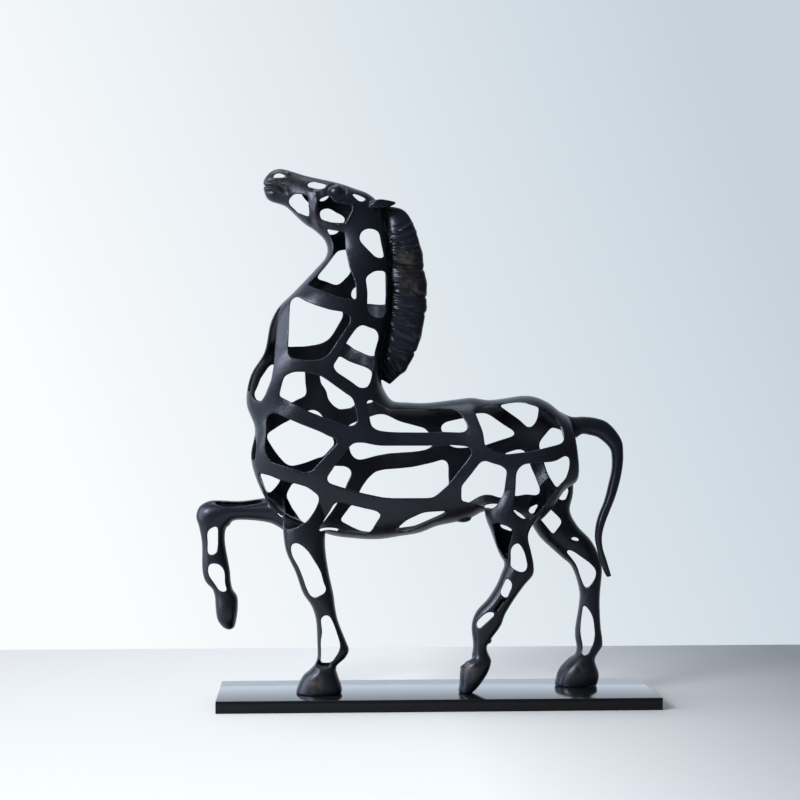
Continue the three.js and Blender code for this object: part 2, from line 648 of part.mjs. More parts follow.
function horseSolid() {
  const outside = joined([
    outerTube(bodySections, bodySides),
    ...legs.map(({ sections }) => outerTube(sections, limbSides)),
  ]);
  const inside = joined([
    hollow(bodySections, bodyHollow),
    ...legs.map(({ sections, hollowTo }) => hollow(sections, [...Array(hollowTo).keys()])),
  ]);
  const cutters = [
    ...Object.values(throughCells).map((outline) => cellCutter(outline, -bodyReach, bodyReach)),
    ...Object.values(nearCells).map((outline) => cellCutter(outline, -bodyReach, -centreGap)),
    ...Object.values(farCells).map((outline) => cellCutter(outline, centreGap, bodyReach)),
    ...Object.values(nearHindOuterCells).map((outline) => cellCutter(outline, -bodyReach, nearHindCentre)),
    cellCutter(nearHindSlit, -bodyReach, -centreGap),
    cellCutter(armGroove, centreGap, grooveFloor),
  ];
  const shell = outside.subtract(inside).subtract(joined(cutters));
  const solidParts = joined([
    outerTube(tailSections, tailSides),
    maneSolid(),
    outerTube(earSections, earSides),
    outerTube(mirrored(earSections), earSides),
    eyeSolid(-1),
    eyeSolid(1),
  ]);
  return shell.add(solidParts).subtract(groundSolid());
}

// Everything below the soles, cut away so that the hooves stand flat
function groundSolid() {
  const height = baseThickness + restingGap;
  const ground = new THREE.BoxGeometry(4 * baseLength, 4 * baseLength, 2 * height);
  return solidOf(ground);
}

// A three.js geometry with its shared corners merged, as a solid
function solidOf(geometry) {
  const position = geometry.getAttribute('position');
  const corners = [];
  const found = new Map();
  const numbers = [];
  for (let i = 0; i < position.count; i += 1) {
    const corner = [position.getX(i), position.getY(i), position.getZ(i)];
    const key = corner.map((value) => value.toFixed(4)).join(' ');
    if (!found.has(key)) {
      found.set(key, corners.length);
      corners.push(corner);
    }
    numbers.push(found.get(key));
  }
  const order = [...geometry.getIndex().array].map((i) => numbers[i]);
  return solidFrom(corners, order.flatMap((n, i) => (i % 3 ? [] : [order.slice(i, i + 3)])));
}

function meshOf(solid, name, material) {
  const { vertProperties, triVerts } = solid.getMesh();
  const geometry = new THREE.BufferGeometry();
  geometry.setAttribute('position', new THREE.BufferAttribute(new Float32Array(vertProperties), 3));
  geometry.setIndex([...triVerts]);
  geometry.computeVertexNormals();
  const mesh = new THREE.Mesh(geometry, material);
  mesh.name = name;
  return mesh;
}

// A lacquered steel plate with a fine bevel round its edges
function basePlate() {
  const outline = new THREE.Shape();
  const x = baseLength / 2 - baseBevel;
  const y = baseDepth / 2 - baseBevel;
  outline.moveTo(-x, -y).lineTo(x, -y).lineTo(x, y).lineTo(-x, y).closePath();
  const plate = new THREE.ExtrudeGeometry(outline, {
    depth: baseThickness - 2 * baseBevel,
    bevelThickness: baseBevel,
    bevelSize: baseBevel,
    bevelSegments: 1,
  });
  const mesh = new THREE.Mesh(plate, blackLacquer);
  mesh.name = 'base_plate';
  mesh.position.z = baseBevel;
  return mesh;
}

const sculpture = new THREE.Group();
sculpture.add(meshOf(horseSolid(), 'horse', blackCasting));
sculpture.add(basePlate());

export default sculpture;
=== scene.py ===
import math
import bmesh
import bpy
import numpy as np
from mathutils import Matrix, Vector


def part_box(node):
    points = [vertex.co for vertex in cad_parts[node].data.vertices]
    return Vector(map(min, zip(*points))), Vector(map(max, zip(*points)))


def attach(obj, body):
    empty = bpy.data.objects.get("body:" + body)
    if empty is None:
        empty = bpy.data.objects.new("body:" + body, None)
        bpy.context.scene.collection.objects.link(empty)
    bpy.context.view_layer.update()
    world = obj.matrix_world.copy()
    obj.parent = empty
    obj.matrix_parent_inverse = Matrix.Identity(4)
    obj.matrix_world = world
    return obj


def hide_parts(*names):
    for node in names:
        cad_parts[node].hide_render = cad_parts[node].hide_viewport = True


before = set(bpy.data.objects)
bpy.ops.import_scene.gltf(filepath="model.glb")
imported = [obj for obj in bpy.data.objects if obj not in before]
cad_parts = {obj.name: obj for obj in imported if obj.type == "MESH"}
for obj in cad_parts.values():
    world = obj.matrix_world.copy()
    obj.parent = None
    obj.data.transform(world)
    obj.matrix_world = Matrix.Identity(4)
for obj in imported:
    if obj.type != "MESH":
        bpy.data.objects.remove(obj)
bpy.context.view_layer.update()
bpy.ops.object.select_all(action="DESELECT")


# THE BASE PLATE
# A flat steel plate, its edges broken by a fine bevel and finished in black lacquer. The hooves are
# screwed to it from below, and it rests on its bare underside.
edge_bevel = 0.0007
plate_low, plate_high = (Vector(corner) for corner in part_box("base_plate"))
bpy.ops.mesh.primitive_cube_add(size=1, location=(plate_low + plate_high) / 2)
plate = bpy.context.object
plate.name = "lacquered_plate"
plate.scale = plate_high - plate_low
bpy.ops.object.transform_apply(location=True, rotation=True, scale=True)
bpy.ops.object.mode_set(mode="EDIT")
bpy.ops.mesh.select_all(action="SELECT")
bpy.ops.mesh.bevel(offset=edge_bevel, segments=3, profile=0.5)
bpy.ops.object.mode_set(mode="OBJECT")
bpy.ops.object.shade_smooth_by_angle(angle=math.radians(40))


class Shade:
    """A socket of a material. Sums on it are written as on a number, and add Math nodes."""

    def __init__(self, tree, socket=None):
        self.tree = tree
        self.socket = socket

    def node(self, kind, settings=None, sockets=None, output=0):
        made = self.tree.nodes.new(kind)
        for name, value in (settings or {}).items():
            if name == "stops":
                ramp = made.color_ramp.elements
                while len(ramp) < len(value):
                    ramp.new(0.5)
                for stop, (place, tone) in zip(ramp, value):
                    stop.position = place
                    stop.color = (*tone, 1) if isinstance(tone, tuple) else (tone, tone, tone, 1)
            else:
                setattr(made, name, value)
        for name, value in (sockets or {}).items():
            if isinstance(value, Shade):
                self.tree.links.new(value.socket, made.inputs[name])
            elif isinstance(value, tuple) and made.inputs[name].type == "RGBA":
                made.inputs[name].default_value = (*value, 1)
            else:
                made.inputs[name].default_value = value
        return Shade(self.tree, made.outputs[output])

    def sum(self, operation, first, second=0.0):
        return self.node("ShaderNodeMath", {"operation": operation}, {0: first, 1: second})

    def __add__(self, other):
        return self.sum("ADD", self, other)

    def __radd__(self, other):
        return self.sum("ADD", other, self)

    def __sub__(self, other):
        return self.sum("SUBTRACT", self, other)

    def __rsub__(self, other):
        return self.sum("SUBTRACT", other, self)

    def __mul__(self, other):
        return self.sum("MULTIPLY", self, other)

    def __rmul__(self, other):
        return self.sum("MULTIPLY", other, self)

    def __truediv__(self, other):
        return self.sum("DIVIDE", self, other)

    def clamped(self):
        return self.node("ShaderNodeClamp", None, {"Value": self})

    def mixed(self, first, second):
        """A colour between two, by this factor."""
        return self.node("ShaderNodeMix", {"data_type": "RGBA"}, {0: self, 6: first, 7: second}, 2)

    def ramp(self, *stops):
        return self.node("ShaderNodeValToRGB", {"stops": stops}, {"Fac": self})

    def grain(self, place, scale, detail=2.0, roughness=0.5):
        return self.node("ShaderNodeTexNoise", None, {
            "Vector": place, "Scale": scale, "Detail": detail, "Roughness": roughness})


def new_material(name):
    """An empty material: its own shader, and a Shade to build from."""
    material = bpy.data.materials.new(name)
    material.use_nodes = True
    tree = material.node_tree
    shader = next(node for node in tree.nodes if node.type == "BSDF_PRINCIPLED")
    start = Shade(tree)
    place = start.node("ShaderNodeTexCoord", output=3)
    return material, shader, start, place


def link(shade, shader, socket):
    shade.tree.links.new(shade.socket, shader.inputs[socket])


# Lacquer: near black, half glossy, with a faint orange peel and a little dust in its gloss
lacquer, shader, start, place = new_material("black_lacquer")
dust = start.grain(place, 60.0, 3.0)
peel = start.grain(place, 700.0, 1.0)
shader.inputs["Base Color"].default_value = (0.006, 0.006, 0.007, 1)
link(0.13 + 0.07 * dust, shader, "Roughness")
shader.inputs["Specular IOR Level"].default_value = 0.14
shader.inputs["Coat Roughness"].default_value = 0.13
facing = start.node("ShaderNodeTexCoord", None, None, 1)
upward = start.node("ShaderNodeSeparateXYZ", None, {"Vector": facing}, 2)
link(0.74 * upward.clamped(), shader, "Coat Weight")
ripple = start.node("ShaderNodeBump", None, {"Strength": 0.02, "Distance": 0.0004, "Height": peel})
link(ripple, shader, "Normal")
plate.data.materials.append(lacquer)
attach(plate, "root")
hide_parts("base_plate")


# TRUNK, NECK AND HEAD
# The barrel, chest, neck and head are one thin shell, cast hollow. It is drawn here as a row of oval
# sections from the rump round the chest to the lips, as millimetres on the side elevation.
sight = (-106.0, -1488.0, 239.0)
section_power = 2.25


def sighted(x, z, y):
    """A point of the elevation carried along its line of sight to a depth."""
    reach = 1 - y / sight[1]
    return sight[0] + (x - sight[0]) * reach, y, sight[2] + (z - sight[2]) * reach


def smooth_rows(rows, steps):
    """More sections between the drawn ones, on curves through them."""
    rows = np.array(rows, float)
    gaps = np.maximum(np.linalg.norm(np.diff(rows, axis=0), axis=1), 1e-6) ** 0.5
    slopes = np.diff(rows, axis=0) / gaps[:, None]
    tangents = np.empty_like(rows)
    tangents[0], tangents[-1] = slopes[0], slopes[-1]
    before, after = gaps[:-1, None], gaps[1:, None]
    tangents[1:-1] = (slopes[:-1] * after + slopes[1:] * before) / (before + after)
    found = []
    for i in range(len(rows) - 1):
        for t in np.arange(steps) / steps:
            found.append(
                (2 * t ** 3 - 3 * t ** 2 + 1) * rows[i] + (3 * t ** 2 - 2 * t ** 3) * rows[i + 1]
                + gaps[i] * ((t ** 3 - 2 * t ** 2 + t) * tangents[i] + (t ** 3 - t ** 2) * tangents[i + 1]))
    return found + [rows[-1]]


def section(row, sides, inset=0.0):
    """The points of one section: top line, under line, depth and half width."""
    ax, az, bx, bz, depth, half = row
    x1, _, z1 = sighted(ax, az, depth)
    x2, _, z2 = sighted(bx, bz, depth)
    half_span = math.hypot(x1 - x2, z1 - z2) / 2
    along = (half_span - inset) / half_span
    points = []
    for s in range(sides):
        turn = 2 * math.pi * s / sides
        c, w = (math.copysign(abs(v) ** (2 / section_power), v) for v in (math.cos(turn), math.sin(turn)))
        points.append((
            (x1 + x2) / 2 + c * along * (x1 - x2) / 2,
            depth + w * (half - inset),
            (z1 + z2) / 2 + c * along * (z1 - z2) / 2))
    return points


def object_from(name, points, faces):
    """A mesh object of points in millimetres, its faces turned outwards."""
    mesh = bpy.data.meshes.new(name)
    mesh.from_pydata([tuple(v / 1000 for v in point) for point in points], [], faces)
    shape = bmesh.new()
    shape.from_mesh(mesh)
    bmesh.ops.recalc_face_normals(shape, faces=shape.faces)
    shape.to_mesh(mesh)
    shape.free()
    made = bpy.data.objects.new(name, mesh)
    bpy.context.scene.collection.objects.link(made)
    return made


def tube_object(name, rings):
    """Rings of points joined into a closed tube, with a fan at each end."""
    sides = len(rings[0])
    points = [point for ring in rings for point in ring]
    faces = []
    for r in range(len(rings) - 1):
        for s in range(sides):
            a, b = r * sides + s, r * sides + (s + 1) % sides
            faces.append((a, b, b + sides, a + sides))
    for r, ring in ((0, rings[0]), (len(rings) - 1, rings[-1])):
        points.append(tuple(sum(axis) / sides for axis in zip(*ring)))
        faces += [(r * sides + s, r * sides + (s + 1) % sides, len(points) - 1) for s in range(sides)]
    return object_from(name, points, faces)


def use_alone(piece):
    bpy.ops.object.select_all(action="DESELECT")
    piece.select_set(True)
    bpy.context.view_layer.objects.active = piece


def combine(piece, other, operation):
    """One Boolean between two closed meshes; the other is used up."""
    use_alone(piece)
    step = piece.modifiers.new(operation, "BOOLEAN")
    step.object = other
    step.operation = operation
    step.solver = "MANIFOLD"
    bpy.ops.object.modifier_apply(modifier=step.name)
    bpy.data.meshes.remove(other.data)


trunk_rows = [
    (116.8, 212, 118.3, 195, 0, 9), (114.2, 225, 118.8, 187, 0, 20), (111, 235.5, 116.5, 181.5, 0, 28),
    (103.1, 241.6, 106.9, 174.7, 0, 34), (92, 249.8, 96.1, 159.2, 0, 38), (78, 254.4, 82, 148, 0, 40),
    (44, 250.8, 42, 158, 0, 38), (30, 252.7, 30, 153, 0, 36.5), (18, 251.4, 20.7, 150, 0, 35.5),
    (-8.1, 248.4, 0.1, 145.6, 0, 36), (-24.1, 248.8, -13.9, 140.2, 0, 37), (-36, 250.2, -30, 137.5, 0, 38),
    (-42.9, 258.9, -48, 135, 0, 39), (-45.9, 268.7, -68.2, 135.8, 0, 39),
    (-46.5, 280, -88.5, 138.9, 0, 39), (-44.5, 299, -132, 157, 0, 39), (-42.5, 307, -145.7, 177.1, 0, 39),
    (-41, 314, -153.5, 203, 0, 39), (-40, 321, -150.2, 226.7, 0, 39), (-39.5, 328, -157.2, 247.8, 0, 38.5),
    (-39.2, 335.5, -153.8, 271, 0, 37.5), (-39, 343, -142.5, 290.2, 0, 36),
    (-39, 353, -137.3, 314.8, 0, 33), (-39, 358.5, -131.1, 327.1, 0, 31), (-39, 364, -119.7, 338.6, 0, 29),
    (-39, 376, -101.8, 357.4, 0, 25), (-39.5, 388, -91.3, 370.1, 0, 22), (-46, 412, -92.3, 383, 0, 20),
    (-55.5, 421.9, -100.5, 391.4, 0, 21), (-67.7, 426.6, -108.6, 396.7, 0, 22),
    (-79.9, 430.7, -114.1, 401.5, 0, 21), (-108.7, 437.1, -125.2, 411.6, 0, 15),
    (-119.9, 440.5, -131.6, 413.9, 0, 13), (-129.6, 442.6, -136.9, 415.5, 0, 12),
    (-136, 441, -140.2, 417.9, 0, 11), (-140.8, 436.6, -142.2, 421.9, 0, 9.5),
    (-143.3, 432.4, -143.2, 425.2, 0, 6),
]
wall = 3.2
horse = tube_object("openwork_horse", [section(row, 56) for row in smooth_rows(trunk_rows, 5)])


# LEGS
# Four slender legs spring from the shell. The near foreleg and the far hind leg stand square, the
# near hind leg stands on its toe, and the far foreleg is raised with its knee bent.
near_fore_rows = [
    (-124, 180, -90, 176, -17, 14), (-127, 152, -91, 152, -18, 17), (-126.7, 139, -92, 136, -19, 16),
    (-124.4, 125, -91.5, 124, -19.5, 14.5), (-116.5, 107.5, -88.7, 106, -20, 13),
    (-110.2, 90, -85, 89, -20, 12.5), (-103.5, 80.1, -83.7, 79, -20, 12),
    (-99.8, 69, -81.5, 68, -20, 10.5), (-98.6, 50, -74.5, 50, -20, 10), (-98.4, 43, -72.2, 43, -20, 10.5),
    (-98.6, 37, -75.2, 36.8, -20, 10.5), (-101, 31, -81.7, 31, -20, 11),
    (-105, 26.7, -82.8, 27.5, -19.5, 12.5), (-110.2, 22.2, -81.3, 22, -19, 14),
    (-115.7, 10.5, -77.9, 10.5, -19, 14.5), (-115.9, 5, -79.5, 5, -19, 14),
]
near_hind_rows = [
    (52, 196, 104, 192, -19, 16), (45, 172, 98, 168, -19.5, 18), (41.1, 156.1, 84, 151, -19.5, 18),
    (46.6, 140, 77.3, 138, -19.5, 17), (52.9, 123, 80.1, 123, -20, 14.5), (57.5, 114, 82, 113, -20, 13),
    (54.5, 105, 81.4, 105, -20, 12.5), (51.2, 97, 74.3, 96.5, -20, 12), (43.4, 84.8, 65.3, 84, -20, 11),
    (33.7, 74, 57.8, 71.5, -20, 10.5), (30.1, 64, 54.7, 63, -20, 10), (31.3, 46.5, 42.9, 46, -20, 9),
    (30.5, 39.5, 43.6, 40.4, -20, 9.3), (29.2, 36, 45.4, 36.6, -20, 10.2),
    (22.6, 31.2, 46.4, 32.6, -20, 11.6), (20.4, 25, 44, 24.6, -20, 12), (19.9, 14, 37.1, 14, -20, 11),
    (19, 8.5, 32.1, 8.5, -20, 9), (21.7, 5, 27, 5, -20, 7),
]
far_fore_rows = [
    (-104, 178, -103, 146, 15, 14), (-128, 172.5, -121.5, 141, 17, 15),
    (-142, 169.6, -137.5, 148.7, 18, 13.5), (-165, 167, -162.9, 151.4, 18, 11.5),
    (-178.2, 167.6, -169, 150, 18, 11.5), (-188.1, 167.1, -171.1, 146.9, 18, 11.5),
    (-196, 162.5, -173.2, 145.4, 18, 11.5), (-198.7, 154.6, -174.5, 142.6, 18, 11),
    (-196.4, 146, -175, 137.8, 18, 10.5), (-194, 133, -174.5, 129.9, 18, 10),
    (-193.4, 108.5, -170.7, 109, 18, 10), (-190.8, 100.3, -170.1, 101, 18, 10),
    (-185.1, 94, -168.5, 94, 18, 10), (-183.2, 87.5, -164.8, 88.2, 18, 11),
    (-182.6, 79, -164.2, 79, 18, 11.8), (-181, 69, -165.4, 68.8, 18, 10.5),
    (-176.6, 62.8, -167.2, 62.6, 18, 6.5), (-173.2, 60.8, -169.8, 60.8, 18, 3),
]
far_hind_rows = [
    (76, 188, 115.5, 198, 17, 15), (74, 166, 115.1, 173, 18.5, 17), (80, 148, 112.4, 158.1, 19, 17),
    (87.3, 136.2, 119.1, 145.4, 19, 16), (96.7, 127.2, 130, 133.8, 19, 14.5),
    (105.4, 119.4, 136.5, 121.5, 19.5, 12.5), (113.6, 112, 139.3, 111, 19.5, 12),
    (120.6, 91, 137.8, 91, 19, 11), (120.2, 80, 137.4, 80, 18.5, 10.5), (117, 60, 138.4, 60, 18, 10),
    (117, 52, 139.6, 51.5, 18, 10), (118.1, 45, 139.5, 45, 18, 10), (117.1, 39, 135.8, 39.5, 18, 10.5),
    (111.7, 33.8, 133.2, 34, 18, 12.5), (105.8, 28, 134.8, 28, 18, 14), (102, 21.5, 136.6, 22, 18, 14.5),
    (99.9, 15, 135.6, 15, 18, 14.5), (100.7, 8, 132, 8, 18, 13.5),
]
leg_hollows = []
for rows, hollow_rows in ((near_fore_rows, 2), (near_hind_rows, 5), (far_fore_rows, 2), (far_hind_rows, 3)):
    smooth = smooth_rows(rows, 5)
    combine(horse, tube_object("leg", [section(row, 28) for row in smooth]), "UNION")
    inner = smooth[:5 * (hollow_rows - 1) + 1]
    leg_hollows.append(tube_object("leg_hollow", [section(row, 20, wall) for row in inner]))

# The near fore hoof is open at its top, as a cup; an ergot stands out behind the near hind fetlock, and
# a knob where the straps of the belly meet
for x, z, depth, size, operation in (
    (-92.8, 31.4, -27.0, (6.2, 10.0, 4.3), "DIFFERENCE"),
    (43.8, 50.6, -20.0, (3.0, 5.0, 3.3), "UNION"),
    (22.5, 152.4, -6.0, (7.5, 7.0, 3.8), "UNION"),
):
    bpy.ops.mesh.primitive_uv_sphere_add(segments=32, ring_count=20, radius=1)
    form = bpy.context.object
    form.location = Vector(sighted(x, z, depth)) / 1000
    form.scale = Vector(size) / 1000
    bpy.ops.object.transform_apply(location=True, rotation=True, scale=True)
    combine(horse, form, operation)


# THE NET OF STRAPS
# The shell is emptied to an even wall, and rounded cells are cut through the near wall and the far
# wall, each pattern its own, so that straps of the far side show between those of the near side.
trunk_inside = smooth_rows(trunk_rows[1:34], 4)
combine(horse, tube_object("trunk_hollow", [section(row, 72, wall) for row in trunk_inside]), "DIFFERENCE")
for inner in leg_hollows:
    combine(horse, inner, "DIFFERENCE")


def softened(outline, rounds=2):
    """An outline with its corners rounded as a casting's are."""
    outline = np.array(outline, float)
    around = sum(math.dist(a, b) for a, b in zip(outline, np.roll(outline, -1, 0)))
    points = []
    for a, b in zip(outline, np.roll(outline, -1, 0)):
        count = max(1, round(math.dist(a, b) / min(1.5, around / 36)))
        points += [a + (b - a) * k / count for k in range(count)]
    points = np.array(points)
    for _ in range(rounds):
        points = (np.roll(points, 1, 0) + 2 * points + np.roll(points, -1, 0)) / 4
    return points


def cell_cutter(outlines, front, back):
    """Outlines swept along the lines of sight between two depths, as one mesh."""
    points, faces = [], []
    for outline in outlines:
        outline = softened(outline)
        base, count = len(points), len(outline)
        points += [sighted(x, z, y) for y in (front, back) for x, z in outline]
        faces += [tuple(base + i for i in range(count))]
        faces += [tuple(base + count + i for i in reversed(range(count)))]
        for i in range(count):
            j = (i + 1) % count
            faces.append((base + i, base + count + i, base + count + j, base + j))
    return object_from("cells", points, faces)


through_cells = {
    "nostril": [
        (-134.6, 434.9), (-130.7, 435.4), (-127, 435.3), (-124.2, 436.5), (-125.8, 437.6), (-127.9, 438.5),
        (-130, 439.1), (-131.8, 438.9), (-133.5, 438.2), (-135.9, 435.7),
    ],
    "nose_bridge": [
        (-106.9, 428.6), (-105.4, 427.7), (-98.5, 426.1), (-96.1, 426.1), (-93.7, 426.5), (-90.4, 429.2),
        (-91.9, 430), (-93.9, 430.5), (-101.7, 432.2), (-105.2, 431.4), (-107.4, 429.7),
    ],
    "temple": [
        (-69.6, 421.5), (-64.4, 416.6), (-62.1, 415.8), (-57.4, 417.7), (-61.7, 420.1), (-65.4, 421.5),
        (-69, 422.6), (-70.7, 422.6),
    ],
    "upper_mane": [
        (-63.5, 384.1), (-61.2, 380.9), (-50.4, 369.9), (-48.7, 369.3), (-45.1, 368.9), (-42.9, 370),
        (-45.5, 380.7), (-46.8, 388.3), (-47.4, 390.1), (-48.3, 391.5), (-51.5, 392.9), (-55, 393.6),
        (-58.4, 393.1), (-62, 390.6), (-63.8, 386),
    ],
}
